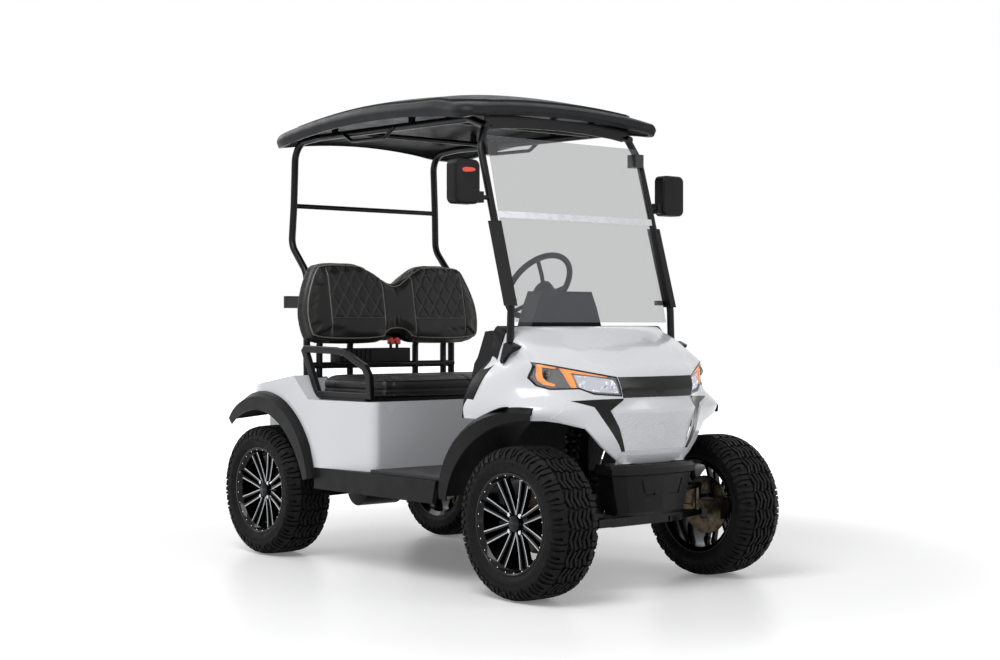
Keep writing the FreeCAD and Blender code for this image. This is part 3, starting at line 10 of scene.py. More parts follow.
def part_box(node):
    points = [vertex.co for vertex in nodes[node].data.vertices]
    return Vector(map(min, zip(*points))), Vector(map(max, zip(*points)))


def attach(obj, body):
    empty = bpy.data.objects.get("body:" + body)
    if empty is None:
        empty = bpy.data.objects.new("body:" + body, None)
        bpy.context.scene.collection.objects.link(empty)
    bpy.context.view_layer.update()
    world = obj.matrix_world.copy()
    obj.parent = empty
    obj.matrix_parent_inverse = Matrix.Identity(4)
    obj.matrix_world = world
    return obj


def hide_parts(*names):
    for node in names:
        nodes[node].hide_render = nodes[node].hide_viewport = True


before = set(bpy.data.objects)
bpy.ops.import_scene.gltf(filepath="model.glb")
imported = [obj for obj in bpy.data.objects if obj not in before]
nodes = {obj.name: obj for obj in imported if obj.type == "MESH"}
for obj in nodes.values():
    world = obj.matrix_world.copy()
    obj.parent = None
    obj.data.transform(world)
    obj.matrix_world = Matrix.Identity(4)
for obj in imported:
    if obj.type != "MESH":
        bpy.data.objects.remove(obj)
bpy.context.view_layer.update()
sides = {"right": -1, "left": 1}
random.seed(7)
print("frame loaded:", len(nodes), "nodes")

# Camera and studio

camera = {
    "place": (5.569, -4.683, 1.031),
    "pitch": 89.85,
    "turn": 49.42,
    "lens": 60.16,
    "sensor": 36.0,
}
studio = {
    "ambient": 0.3,
    "keySoftbox": {"place": (1.6, -3.6, 5.2), "size": (3.4, 3.4), "power": 240},
    "fillSoftbox": {"place": (5.4, 1.8, 3.0), "size": (2.6, 2.6), "power": 55},
    "backSoftbox": {"place": (-4.6, -1.2, 3.8), "size": (3.0, 2.4), "power": 70},
    "lightAim": (0, 0, 0.8),
    "floorColour": "#F4F4F5",
    "floorHalf": 30,
    # floorLift and floorFade set the floor's painted light: its strength near the cart, and the
    # distances over which it rises to full
    "floorLift": 0.16,
    "floorFade": (1.7, 4.2),
}


def intoScene(name, data):
    thing = bpy.data.objects.new(name, data)
    bpy.context.scene.collection.objects.link(thing)
    return thing


def addCamera():
    data = bpy.data.cameras.new("photoCamera")
    data.lens = camera["lens"]
    data.sensor_width = camera["sensor"]
    view = intoScene("photoCamera", data)
    view.location = camera["place"]
    view.rotation_euler = (math.radians(camera["pitch"]), 0, math.radians(camera["turn"]))
    bpy.context.scene.camera = view


def addSoftbox(name):
    data = bpy.data.lights.new(name, "AREA")
    data.shape = "RECTANGLE"
    data.size, data.size_y = studio[name]["size"]
    data.energy = studio[name]["power"]
    light = intoScene(name, data)
    light.location = studio[name]["place"]
    direction = Vector(studio["lightAim"]) - light.location
    light.rotation_euler = direction.to_track_quat("-Z", "Y").to_euler()


# Materials. Sizes and depths of their patterns are in millimetres.

def linear(hexCode):
    parts = [int(hexCode[i:i + 2], 16) / 255 for i in (1, 3, 5)]
    curve = [c / 12.92 if c <= 0.04045 else ((c + 0.055) / 1.055) ** 2.4 for c in parts]
    return (*curve, 1.0)


def addNode(tree, kind, values=None, links=None, **settings):
    node = tree.nodes.new(kind)
    for key, value in settings.items():
        setattr(node, key, value)
    for key, value in (values or {}).items():
        node.inputs[key].default_value = value
    for key, source in (links or {}).items():
        tree.links.new(source, node.inputs[key])
    return node


def combined(tree, operation, one, two):
    return addNode(tree, "ShaderNodeMath", links={0: one, 1: two}, operation=operation).outputs[0]


def remapped(tree, value, low, high, newLow=0.0, newHigh=1.0, **settings):
    return addNode(tree, "ShaderNodeMapRange", {"From Min": low, "From Max": high,
                                                "To Min": newLow, "To Max": newHigh},
                   {"Value": value}, **settings).outputs["Result"]


def perMetre(size):
    return 1000.0 / size


def addNoise(tree, where, size, detail):
    return addNode(tree, "ShaderNodeTexNoise", {"Scale": perMetre(size), "Detail": detail},
                   {"Vector": where}).outputs["Fac"]


def addWaves(tree, where, spacing):
    # Blender's wave texture repeats 20 / (2 pi) times per unit of scale
    return addNode(tree, "ShaderNodeTexWave", {"Scale": 0.314 * perMetre(spacing)},
                   {"Vector": where}, bands_direction="Y").outputs["Fac"]


def addBump(tree, shader, height, depth, strength=1.0, under=None):
    links = {"Height": height}
    if under is not None:
        links["Normal"] = under
    bump = addNode(tree, "ShaderNodeBump", {"Strength": strength, "Distance": depth / 1000}, links)
    tree.links.new(bump.outputs["Normal"], shader.inputs["Normal"])
    return bump.outputs["Normal"]


def varyRoughness(tree, shader, where, size, low, high):
    span = remapped(tree, addNoise(tree, where, size, 3.0), 0.3, 0.7, low, high)
    tree.links.new(span, shader.inputs["Roughness"])


def tintByNoise(tree, shader, where, size, dark, light, detail=4.0):
    ramp = addNode(tree, "ShaderNodeValToRGB", links={"Fac": addNoise(tree, where, size, detail)})
    for stop, position, colour in zip(ramp.color_ramp.elements, (0.35, 0.65), (dark, light)):
        stop.position = position
        stop.color = linear(colour)
    tree.links.new(ramp.outputs["Color"], shader.inputs["Base Color"])


def startMaterial(name, colour, roughness, drift=None, metallic=0.0, tint=None, inputs=None):
    # drift is (size, lowest and highest roughness), tint is (size, dark, light)
    material = bpy.data.materials.new(name)
    material.use_nodes = True
    tree = material.node_tree
    shader = tree.nodes["Principled BSDF"]
    values = {"Base Color": linear(colour), "Roughness": roughness, "Metallic": metallic}
    for key, value in {**values, **(inputs or {})}.items():
        shader.inputs[key].default_value = value
    where = addNode(tree, "ShaderNodeTexCoord").outputs["Object"]
    if drift:
        varyRoughness(tree, shader, where, *drift)
    if tint:
        tintByNoise(tree, shader, where, *tint)
    return material, tree, shader, where


def surface(*looks, grain=None, **more):
    # grain is (size, noise detail, depth, strength), the rest as for startMaterial
    material, tree, shader, where = startMaterial(*looks, **more)
    if grain:
        size, detail, depth, strength = grain
        addBump(tree, shader, addNoise(tree, where, size, detail), depth, strength)
    return material


hatching = {"slant": 52, "spacing": 9, "depth": 1.2, "top": 0.698, "fadeEnd": 0.702}


def glossWhiteAbs(name, hatched=False):
    # injection-moulded ABS with a clear topcoat: bright, sharp reflections, a trace of orange peel
    material, tree, shader, where = startMaterial(
        name, "#D6D7DB", 0.22, (180, 0.2, 0.28), 0.0, (600, "#D2D3D7", "#D9DADE", 2.0),
        {"Coat Weight": 0.5, "Coat Roughness": 0.04})
    peel = addBump(tree, shader, addNoise(tree, where, 9, 1.0), 0.03, 0.25)
    if hatched:
        # fine slanting ribs over the lower face of the grille
        turned = addNode(tree, "ShaderNodeMapping", {
            "Rotation": (math.radians(hatching["slant"]), 0, 0)}, {"Vector": where})
        ribs = addWaves(tree, turned.outputs["Vector"], hatching["spacing"])
        height = addNode(tree, "ShaderNodeSeparateXYZ", links={0: where}).outputs["Z"]
        below = remapped(tree, height, hatching["fadeEnd"], hatching["top"])
        addBump(tree, shader, combined(tree, "MULTIPLY", ribs, below), hatching["depth"], 1.0,
                peel)
    return material


def grainedMaterial(name, dark, light, low, high, grain, depth):
    # moulded plastic with a leathery grain, drawn a little coarse so that it shows
    material, tree, shader, where = startMaterial(
        name, light, high, (60, low, high), 0.0, (90, dark, light), {"Specular IOR Level": 0.15})
    cells = addNode(tree, "ShaderNodeTexVoronoi", {"Scale": perMetre(grain)}, {"Vector": where},
                    feature="SMOOTH_F1")
    addBump(tree, shader, cells.outputs["Distance"], depth, 0.5)
    return material


def ribbedFloorRubber():
    material, tree, shader, where = startMaterial("ribbedFloorRubber", "#2A2A2C", 0.7,
                                                  tint=(140, "#222224", "#323235"))
    addBump(tree, shader, addWaves(tree, where, 23.663), 1.0, 0.8)
    return material


railPlace = {"height": 1.469, "half": 0.02}


def railAndClips():
    # the bright rail across the fold, with dark die-cast clips and brackets beyond its ends
    material, tree, shader, where = startMaterial("railAndClips", "#C9CBCE", 0.28,
                                                  (40, 0.22, 0.34))
    split = addNode(tree, "ShaderNodeSeparateXYZ", links={0: where})
    rail = addNode(tree, "ShaderNodeMath", {1: railPlace["height"], 2: railPlace["half"]},
                   {0: split.outputs["Z"]}, operation="COMPARE")
    tint = addNode(tree, "ShaderNodeMix", {"A": linear("#1B1B1D"), "B": linear("#C6C8CB")},
                   {"Factor": rail.outputs[0]}, data_type="RGBA")
    tree.links.new(tint.outputs["Result"], shader.inputs["Base Color"])
    tree.links.new(rail.outputs[0], shader.inputs["Metallic"])
    return material


def seatVinyl():
    # embossed marine vinyl: fine leather cells, a low sheen, and paler thread in the seams
    material, tree, shader, where = startMaterial(
        "seatVinyl", "#141415", 0.46, (35, 0.4, 0.54), 0.0, (70, "#111112", "#19191A"),
        {"Specular IOR Level": 0.3})
    plain = shader.inputs["Base Color"].links[0].from_socket
    seam = addNode(tree, "ShaderNodeAttribute", attribute_name="stitch")
    sewn = addNode(tree, "ShaderNodeMix", {"B": linear("#4E4E50")},
                   {"Factor": seam.outputs["Fac"], "A": plain}, data_type="RGBA")
    tree.links.new(sewn.outputs["Result"], shader.inputs["Base Color"])
    cells = addNode(tree, "ShaderNodeTexVoronoi", {"Scale": perMetre(1.8)}, {"Vector": where},
                    feature="DISTANCE_TO_EDGE")
    addBump(tree, shader, cells.outputs["Distance"], 0.12, 0.5)
    return material


def glowing(name, colour, strength, roughness):
    # a light guide or tail lens that is lit from behind
    return surface(name, colour, roughness, (15, roughness * 0.8, roughness * 1.2), inputs={
        "Emission Color": linear(colour), "Emission Strength": strength})


finish = {
    "white": glossWhiteAbs("glossWhiteAbs"),
    "hatched": glossWhiteAbs("hatchedWhiteAbs", True),
    # moulded polypropylene of flares, bumpers and dash
    "black": grainedMaterial("satinBlackPp", "#09090A", "#101011", 0.36, 0.48, 2.2, 0.12),
    # vacuum-formed ABS sheet, charcoal, with the soft sheen of a fine haircell grain
    "roof": grainedMaterial("charcoalRoofAbs", "#141517", "#1C1D20", 0.38, 0.5, 2.6, 0.1),
    "mat": ribbedFloorRubber(),
    # powder-coated steel tube: deep black, a slight pebble in the gloss
    "tube": surface("powderCoatBlack", "#08080A", 0.32, (40, 0.26, 0.38),
                    grain=(3, 1.0, 0.08, 0.3), inputs={"Specular IOR Level": 0.2}),
    # gloss black lacquer on a cast alloy wheel
    "lacquer": surface("glossBlackPaint", "#040405", 0.12, (30, 0.1, 0.18), inputs={
        "Specular IOR Level": 0.12, "Coat Weight": 0.2, "Coat Roughness": 0.03}),
    # diamond-turned spoke faces under clear lacquer
    "machined": surface("machinedAlloy", "#A9ABAE", 0.24, (8, 0.18, 0.3), 1.0,
                        grain=(1.5, 2.0, 0.03, 0.3)),
    "fittings": railAndClips(),
    "chrome": surface("chromePlate", "#E2E4E6", 0.06, (12, 0.04, 0.1), 1.0),
    # passivated steel of brake and steering parts, a warm bronze cast, turned marks
    "steel": surface("zincSteel", "#4A4236", 0.34, (14, 0.26, 0.44), 1.0,
                     (25, "#3C352B", "#5E5548")),
    # cured tread rubber: matt black with a greyish bloom
    "rubber": surface("tyreRubber", "#0B0B0C", 0.62, (22, 0.52, 0.7),
                      tint=(40, "#080809", "#0F0F10"), grain=(2, 3.0, 0.15, 0.5),
                      inputs={"Specular IOR Level": 0.15}),
    "vinyl": seatVinyl(),
    "piping": surface("seatPiping", "#6E6A60", 0.4, (20, 0.28, 0.42)),
    # folding windshield sheet: grey cast acrylic, clear and glossy
    "acrylic": surface("tintedAcrylic", "#6E7074", 0.04, (220, 0.03, 0.06),
                       inputs={"Alpha": 0.3, "IOR": 1.49}),
    # polycarbonate lamp cover: nearly invisible but for its reflections
    "lens": surface("clearLens", "#FFFFFF", 0.02, (80, 0.01, 0.03),
                    inputs={"Alpha": 0.1, "IOR": 1.58}),
    "amber": glowing("amberLightGuide", "#F08416", 0.55, 0.3),
    "tail": glowing("redTailLens", "#B01218", 0.15, 0.2),
    # metallised facets behind the dipped beam, with a faint painted bluish-white glow standing in
    # for the light they reflect
    "crystal": surface("lampCrystal", "#B9BDC8", 0.1, (6, 0.05, 0.14), 1.0, inputs={
        "Emission Color": linear("#DDE4F2"), "Emission Strength": 0.06}),
    "projector": surface("projectorGlass", "#0B0D10", 0.03, (30, 0.02, 0.05),
                         inputs={"Coat Weight": 1.0}),
    # piano-black trim of the nose and lamp housings
    "piano": surface("glossBlackAbs", "#050506", 0.2, (60, 0.14, 0.24),
                     inputs={"Specular IOR Level": 0.25}),
    "buckle": surface("buckleRed", "#E0231C", 0.32, (20, 0.26, 0.38)),
    "indicator": surface("indicatorOrange", "#E8462C", 0.32, (20, 0.26, 0.38)),
    "silver": surface("mirrorSilver", "#DCDEE0", 0.02, (60, 0.01, 0.03), 1.0),
}
print("materials made:", len(finish))


# World and floor

def seenDirectly(tree):
    # 1 for camera, glossy and transmission rays, 0 for the rays that light the object
    path = addNode(tree, "ShaderNodeLightPath")
    camera, glossy, through = (path.outputs["Is " + kind + " Ray"]
                               for kind in ("Camera", "Glossy", "Transmission"))
    return combined(tree, "MAXIMUM", combined(tree, "MAXIMUM", camera, glossy), through)


def addWorld():
    world = bpy.data.worlds.new("studio")
    bpy.context.scene.world = world
    world.use_nodes = True
    tree = world.node_tree
    strength = remapped(tree, seenDirectly(tree), 0.0, 1.0, studio["ambient"])
    light = tree.nodes["Background"]
    light.inputs["Color"].default_value = (1, 1, 1, 1)
    tree.links.new(strength, light.inputs["Strength"])


def addFloor():
    # painted light on the floor rises with distance: it stays low near the cart, which keeps the
    # shade and shadow there deep, and far off it melts the floor into the white background
    mesh = bpy.data.meshes.new("studioFloor")
    half = studio["floorHalf"]
    mesh.from_pydata([(-half, -half, 0), (half, -half, 0), (half, half, 0), (-half, half, 0)],
                     [], [(0, 1, 2, 3)])
    floor = intoScene("studioFloor", mesh)
    material, tree, shader, where = startMaterial(
        "studioFloorPaint", studio["floorColour"], 0.35,
        inputs={"Specular IOR Level": 0.25, "Emission Color": (1, 1, 1, 1)})
    reach = addNode(tree, "ShaderNodeVectorMath", links={0: where}, operation="LENGTH")
    glow = remapped(tree, reach.outputs["Value"], *studio["floorFade"], studio["floorLift"],
                    interpolation_type="SMOOTHSTEP")
    lift = combined(tree, "MULTIPLY", seenDirectly(tree), glow)
    tree.links.new(lift, shader.inputs["Emission Strength"])
    mesh.materials.append(material)


addCamera()
addWorld()
addFloor()
for softbox in ("keySoftbox", "fillSoftbox", "backSoftbox"):
    addSoftbox(softbox)
bpy.context.scene.view_settings.view_transform = "Standard"
print("studio set")


# Finishes of the nodes that keep their modelled shape; those not named here are black

nodesWith = {
    "white": ("front_cowl", "rear_body"),
    "hatched": ("grille_panel",),
    "piano": ("nose_trim", "headlamps"),
    "mat": ("floor_pan",),
    "roof": ("roof",),
    "vinyl": ("seat_cushion", "backrest"),
    "tube": ("chassis_frame", "backrest_frame", "armrests", "roof_frame", "front_pillars",
             "steering_column", "front_suspension", "coil_overs", "rear_axle", "bag_rack"),
    "acrylic": ("windshield_lower", "windshield_upper"),
    "fittings": ("windshield_fittings",),
    "rubber": ("steering_wheel",),
    "tail": ("tail_lamps",),
    "steel": ("knuckle_right", "knuckle_left", "tie_rods"),
}
finishOfNode = {name: key for key, names in nodesWith.items() for name in names}
shading = {"sharpAngle": 28, "weldDistance": 0.00002}


def smoothingGroup():
    # joins the facets of a solid and rounds the shading where they meet at a small angle
    group = bpy.data.node_groups.new("smoothSmallAngles", "GeometryNodeTree")
    for way in ("INPUT", "OUTPUT"):
        group.interface.new_socket("Geometry", in_out=way, socket_type="NodeSocketGeometry")
    start = addNode(group, "NodeGroupInput")
    clean = addNode(group, "GeometryNodeRemoveAttribute", {"Name": "custom_normal"},
                    {"Geometry": start.outputs[0]})
    weld = addNode(group, "GeometryNodeMergeByDistance", {"Distance": shading["weldDistance"]},
                   {"Geometry": clean.outputs[0]})
    faces = addNode(group, "GeometryNodeSetShadeSmooth", links={"Geometry": weld.outputs[0]},
                    domain="FACE")
    angle = addNode(group, "GeometryNodeInputMeshEdgeAngle")
    sharp = addNode(group, "FunctionNodeCompare", {"B": math.radians(shading["sharpAngle"])},
                    {"A": angle.outputs[0]}, data_type="FLOAT", operation="LESS_THAN")
    edges = addNode(group, "GeometryNodeSetShadeSmooth",
                    links={"Geometry": faces.outputs[0], "Shade Smooth": sharp.outputs[0]},
                    domain="EDGE")
    addNode(group, "NodeGroupOutput", links={0: edges.outputs[0]})
    return group


smoothing = smoothingGroup()


def smoothByAngle(thing):
    modifier = thing.modifiers.new("smoothSmallAngles", "NODES")
    modifier.node_group = smoothing


for name, thing in nodes.items():
    thing.data.materials.clear()
    thing.data.materials.append(finish[finishOfNode.get(name, "black")])
    smoothByAngle(thing)
print("node finishes set")


# Mesh helpers

def newPiece(name, data, materials, body, replaced=(), smooth=True):
    thing = intoScene(name, data)
    for key in materials:
        data.materials.append(finish[key])
    if smooth:
        smoothByAngle(thing)
    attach(thing, body)
    if replaced:
        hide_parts(*replaced)
    return thing


def meshFrom(name, build):
    shape = bmesh.new()
    build(shape)
    bmesh.ops.recalc_face_normals(shape, faces=shape.faces)
    mesh = bpy.data.meshes.new(name)
    shape.to_mesh(mesh)
    shape.free()
    return mesh


def between(span, share):
    return span[0] + (span[1] - span[0]) * share


def sidesOf(outline):
    # each point of a closed outline with the next one
    return zip(outline, [*outline[1:], outline[0]])


def circle(radius, count):
    turns = [2 * math.pi * i / count for i in range(count)]
    return [(radius * math.cos(a), radius * math.sin(a)) for a in turns]


def bridge(shape, one, two, materialIndex=0, closed=True):
    # a band of quads between two rows of points
    made = []
    for i in range(len(one) if closed else len(one) - 1):
        k = (i + 1) % len(one)
        made.append(shape.faces.new((one[i], one[k], two[k], two[i])))
        made[-1].material_index = materialIndex
    return made


def capEnds(shape, first, last, materialIndex=0):
    for loop in (list(reversed(first)), last):
        shape.faces.new(loop).material_index = materialIndex


def addRevolve(shape, profile, count, materialIndex=0, closed=False):
    # profile of (radius, along) turned about the Y axis
    rings = [[shape.verts.new((radius * a, along, radius * b)) for radius, along in profile]
             for a, b in circle(1, count)]
    for one, two in sidesOf(rings):
        bridge(shape, one, two, materialIndex, closed)


def addPrism(shape, outline, toPoint, low, high, materialIndex=0, chamfer=0.0):
    # outline of flat points, toPoint turns (a, b, height) into a place
    levels = [(outline, low), (outline, high - chamfer)]
    if chamfer:
        centre = [sum(p[i] for p in outline) / len(outline) for i in (0, 1)]
        size = max(abs(p[i] - centre[i]) for p in outline for i in (0, 1))
        levels.append(([[centre[i] + (p[i] - centre[i]) * (1 - chamfer / size) for i in (0, 1)]
                        for p in outline], high))
    loops = [[shape.verts.new(toPoint(p[0], p[1], h)) for p in points] for points, h in levels]
    for below, above in zip(loops, loops[1:]):
        bridge(shape, below, above, materialIndex)
    capEnds(shape, loops[0], loops[-1], materialIndex)


def addDome(shape, centre, axis, radius, height, rings=3, count=10, materialIndex=0):
    # a round-headed fastener standing on a surface
    turn = Vector((0, 0, 1)).rotation_difference(Vector(axis)).to_matrix()
    centre = Vector(centre)
    loops = []
    for j in range(rings):
        a = math.pi / 2 * j / rings
        loops.append([shape.verts.new(centre + turn @ Vector((x, y, height * math.sin(a))))
                      for x, y in circle(radius * math.cos(a), count)])
    tip = shape.verts.new(centre + turn @ Vector((0, 0, height)))
    for one, two in zip(loops, loops[1:]):
        bridge(shape, one, two, materialIndex)
    for one, two in sidesOf(loops[-1]):
        shape.faces.new((one, two, tip)).material_index = materialIndex
    shape.faces.new(list(reversed(loops[0]))).material_index = materialIndex


def addCylinder(shape, start, end, radius, count=16, materialIndex=0, tip=None):
    start, end = Vector(start), Vector(end)
    turn = Vector((0, 0, 1)).rotation_difference(end - start).to_matrix()
    loops = [[shape.verts.new(place + turn @ Vector((x, y, 0))) for x, y in circle(r, count)]
             for place, r in ((start, radius), (end, tip or radius))]
    bridge(shape, *loops, materialIndex)
    capEnds(shape, *loops, materialIndex)


# Tyres: carcass with zigzag centre ribs, split shoulder blocks and sidewall rings

tyre = {
    "radius": 0.29,
    "tread": (-0.002, 0.0105),
    "chamfer": 0.0012,
    "lugStep": 0.012,
    "pitches": 24,
    "segments": 144,
    "section": ((0.096, 0.1945), (0.103, 0.205), (0.1075, 0.215), (0.1062, 0.217),
                (0.108, 0.219), (0.1092, 0.233), (0.1085, 0.247), (0.1045, 0.259),
                (0.0985, 0.267), (0.089, 0.2735), (0.074, 0.277), (0.048, 0.2788),
                (0.0, 0.2795)),
    "ribPlaces": (-0.043, -0.0215, 0.0, 0.0215, 0.043),
    "ribWidth": 0.0118,
    "ribKink": 0.0135,
    "ribGap": 0.004,
    "shoulderPitch": 0.0759,
    "shoulder": (
        ((0.003, 0.06), (0.022, 0.057), (0.037, 0.07), (0.034, 0.08), (0.026, 0.084),
         (0.03, 0.108), (0.027, 0.124), (0.004, 0.12), (0.008, 0.1), (0.002, 0.084)),
        ((0.03, 0.058), (0.046, 0.062), (0.05, 0.086), (0.045, 0.112), (0.035, 0.112),
         (0.037, 0.09)),
        ((0.053, 0.058), (0.072, 0.062), (0.073, 0.09), (0.066, 0.104), (0.07, 0.126),
         (0.052, 0.124), (0.056, 0.096)),
    ),
    "fade": {"from": 0.088, "over": 0.036, "amount": 0.62},
    "wallRibs": 96,
    "wallRib": ((0.0, 0.138), (0.005, 0.138), (0.005, 0.149), (0.0, 0.149)),
    "wallRibHeight": (-0.001, 0.0032),
}


def sectionPlace():
    # distance from the tread's middle along the carcass, in metres, to (y, radius, normal)
    half = list(reversed(tyre["section"]))
    lengths = [0.0]
    for one, two in zip(half, half[1:]):
        lengths.append(lengths[-1] + math.dist(one, two))

    def place(along):
        side = 1 if along >= 0 else -1
        run = min(abs(along), lengths[-1])
        i = next(i for i in range(len(half) - 1) if run <= lengths[i + 1])
        one, two = Vector(half[i]), Vector(half[i + 1])
        at = one.lerp(two, (run - lengths[i]) / (lengths[i + 1] - lengths[i]))
        step = (two - one).normalized()
        return side * at.x, at.y, Vector((-side * step.y, step.x))
    return place


def denser(outline, step):
    points = []
    for one, two in sidesOf(outline):
        count = max(1, math.ceil(math.dist(one, two) / step))
        points += [(one[0] + (two[0] - one[0]) * i / count, one[1] + (two[1] - one[1]) * i / count)
                   for i in range(count)]
    return points


def treadOutlines(pitch):
    # lugs of one pitch as outlines of (along the tread, across it), in metres
    outlines = []
    w, k, gap = tyre["ribWidth"] / 2, tyre["ribKink"], tyre["ribGap"]
    for i, middle in enumerate(tyre["ribPlaces"]):
        lead = gap * ((i % 2) * 2 - 1)
        start, bend, end = gap + lead, pitch * 0.5 + lead, pitch - gap + lead
        outlines.append([(start, middle - w - k / 2), (bend - gap / 2, middle - w + k / 2),
                         (end, middle - w - k / 2), (end, middle + w - k / 2),
                         (bend + gap / 2, middle + w + k / 2), (start, middle + w - k / 2)])
    for side in (-1, 1):
        for outline in tyre["shoulder"]:
            points = [(a * pitch / tyre["shoulderPitch"], side * b) for a, b in outline]
            outlines.append(points if side > 0 else list(reversed(points)))
    return outlines


def buildTyre(shape):
    half = list(tyre["section"])
    section = half + [(-y, r) for y, r in reversed(half[:-1])]
    addRevolve(shape, [(r, y) for y, r in section], tyre["segments"])
    place = sectionPlace()
    fade = tyre["fade"]

    def addLug(outline, turn, low, high, chamfer=0.0):
        def onTread(along, across, height):
            y, radius, normal = place(across)
            share = min(1, max(0, (abs(across) - fade["from"]) / fade["over"]))
            move = normal * height * (1 - fade["amount"] * share)
            a, radius = turn + along / tyre["radius"], radius + move.y
            return radius * math.cos(a), y + move.x, radius * math.sin(a)

        addPrism(shape, outline, onTread, low, high, 0, chamfer)

    lugs = treadOutlines(2 * math.pi * tyre["radius"] / tyre["pitches"])
    for i in range(tyre["pitches"]):
        for outline in lugs:
            addLug(denser(outline, tyre["lugStep"]), 2 * math.pi * i / tyre["pitches"],
                   *tyre["tread"], tyre["chamfer"])
    for i in range(tyre["wallRibs"]):
        for side in (-1, 1):
            addLug([(a, side * b) for a, b in tyre["wallRib"]],
                   2 * math.pi * i / tyre["wallRibs"], *tyre["wallRibHeight"])


# Wheels: deep black rim, eight pairs of spokes with machined faces, nuts, rivets and brake disc

wheel = {
    "rimSection": ((0.171, -0.084), (0.19, -0.098), (0.194, -0.098), (0.194, -0.089),
                   (0.182, -0.078), (0.182, 0.074), (0.194, 0.088), (0.194, 0.097),
                   (0.193, 0.098), (0.188, 0.098), (0.185, 0.095), (0.182, 0.094),
                   (0.177, 0.085), (0.171, 0.078), (0.168, 0.0)),
    "rimSteps": 96,
    "hubSteps": 48,
    "discSteps": 64,
    "pairs": 8,
    "spokeRun": (0.03, 0.174),
    "spokeFace": (0.062, 0.08),
    "spokeHalf": (0.00578, 0.00816),
    "pairGap": (0.0105, 0.0195),
    "dishing": 1.6,
    "spokeSteps": 7,
    "spokeSection": ((-1, -0.022), (-1, -0.003), (-0.8, 0.0), (0.2, 0.0), (0.82, 0.0),
                     (1, -0.003), (1, -0.022)),
    "brightFacet": 3,
    "hubSection": ((0.0, 0.078), (0.02, 0.0775), (0.029, 0.074), (0.031, 0.066),
                   (0.031, 0.058), (0.044, 0.056), (0.058, 0.053), (0.062, 0.046),
                   (0.062, 0.022), (0.058, 0.016), (0.058, -0.042), (0.0146, -0.042)),
    "nuts": {"count": 4, "circle": 0.043688, "foot": 0.052, "top": 0.07, "radius": 0.0095,
             "domeRadius": 0.0085, "domeHeight": 0.006},
    "rivets": {"count": 24, "circle": 0.1822, "foot": 0.093, "radius": 0.003, "height": 0.0024},
    "discSection": ((0.055, -0.033), (0.118, -0.033), (0.12, -0.035), (0.12, -0.04),
                    (0.118, -0.042), (0.055, -0.042)),
    "valve": {"turn": 22, "circle": 0.168, "span": (0.076, 0.096), "lean": 0.965,
              "radius": 0.0035},
}
lacquer, machined, chrome, steel = range(4)


def addSpoke(shape, turn, lean):
    # lean is -1 or 1 for the two spokes of a pair, whose outer edges are machined
    section, bright = wheel["spokeSection"], wheel["brightFacet"]
    if lean < 0:
        section, bright = [(-a, d) for a, d in reversed(section)], len(section) - 2 - bright
    rows = []
    for j in range(wheel["spokeSteps"] + 1):
        share = j / wheel["spokeSteps"]
        radius, half = between(wheel["spokeRun"], share), between(wheel["spokeHalf"], share)
        middle = lean * between(wheel["pairGap"], share)
        dish = between(wheel["spokeFace"], share ** wheel["dishing"])
        rows.append([shape.verts.new(turn @ Vector((radius, dish + d, middle + a * half)))
                     for a, d in section])
    for one, two in zip(rows, rows[1:]):
        bridge(shape, one, two, lacquer)[bright].material_index = machined
    capEnds(shape, rows[-1], rows[0], lacquer)


def buildRim(shape):
    addRevolve(shape, wheel["rimSection"], wheel["rimSteps"], lacquer, closed=True)
    for i in range(wheel["pairs"]):
        turn = Matrix.Rotation(2 * math.pi * (i + 0.5) / wheel["pairs"], 3, "Y")
        for lean in (-1, 1):
            addSpoke(shape, turn, lean)
    addRevolve(shape, wheel["hubSection"], wheel["hubSteps"], lacquer)
    nuts, rivets, valve = wheel["nuts"], wheel["rivets"], wheel["valve"]
    for i in range(nuts["count"]):
        a = 2 * math.pi * (i + 0.5) / nuts["count"]
        x, z = nuts["circle"] * math.cos(a), nuts["circle"] * math.sin(a)
        addCylinder(shape, (x, nuts["foot"], z), (x, nuts["top"], z), nuts["radius"], 6, chrome)
        addDome(shape, (x, nuts["top"], z), (0, 1, 0), nuts["domeRadius"], nuts["domeHeight"], 3,
                12, chrome)
    for i in range(rivets["count"]):
        a = 2 * math.pi * (i + 0.5) / rivets["count"]
        x, z = rivets["circle"] * math.cos(a), rivets["circle"] * math.sin(a)
        addDome(shape, (x, rivets["foot"], z), (0, 1, 0), rivets["radius"], rivets["height"], 3,
                10, chrome)
    addRevolve(shape, wheel["discSection"], wheel["discSteps"], steel, closed=True)
    a, lean = math.radians(valve["turn"]), valve["lean"]
    x, z = valve["circle"] * math.cos(a), valve["circle"] * math.sin(a)
    addCylinder(shape, (x, valve["span"][0], z), (x * lean, valve["span"][1], z * lean),
                valve["radius"], 10, lacquer)


def addWheels():
    kinds = (("tyre", meshFrom("tyre", buildTyre), ("rubber",)),
             ("rim", meshFrom("rim", buildRim), ("lacquer", "machined", "chrome", "steel")))
    for end in ("front", "rear"):
        for name, side in sides.items():
            tag = end + "_" + name
            low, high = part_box("tyre_" + tag)
            move = Matrix.Translation((low + high) / 2)
            move = move @ Matrix.Rotation(0 if side > 0 else math.pi, 4, "Z")
            for kind, base, materials in kinds:
                mesh = base.copy()
                mesh.transform(move)
                newPiece(kind + "Of" + end.title() + name.title(), mesh, materials,
                         "wheel_" + tag, (kind + "_" + tag,))


addWheels()
print("wheels made")

# Shapes laid on the nose: flat outlines seen from the front, carried back onto the moulded surface

def softened(outline, rounds=2):
    # cuts every corner of a closed outline in each round, so that straight runs meet in curves
    for cut in range(rounds):
        outline = [tuple(a + (b - a) * share for a, b in zip(one, two))
                   for one, two in sidesOf(outline) for share in (0.25, 0.75)]
    return outline


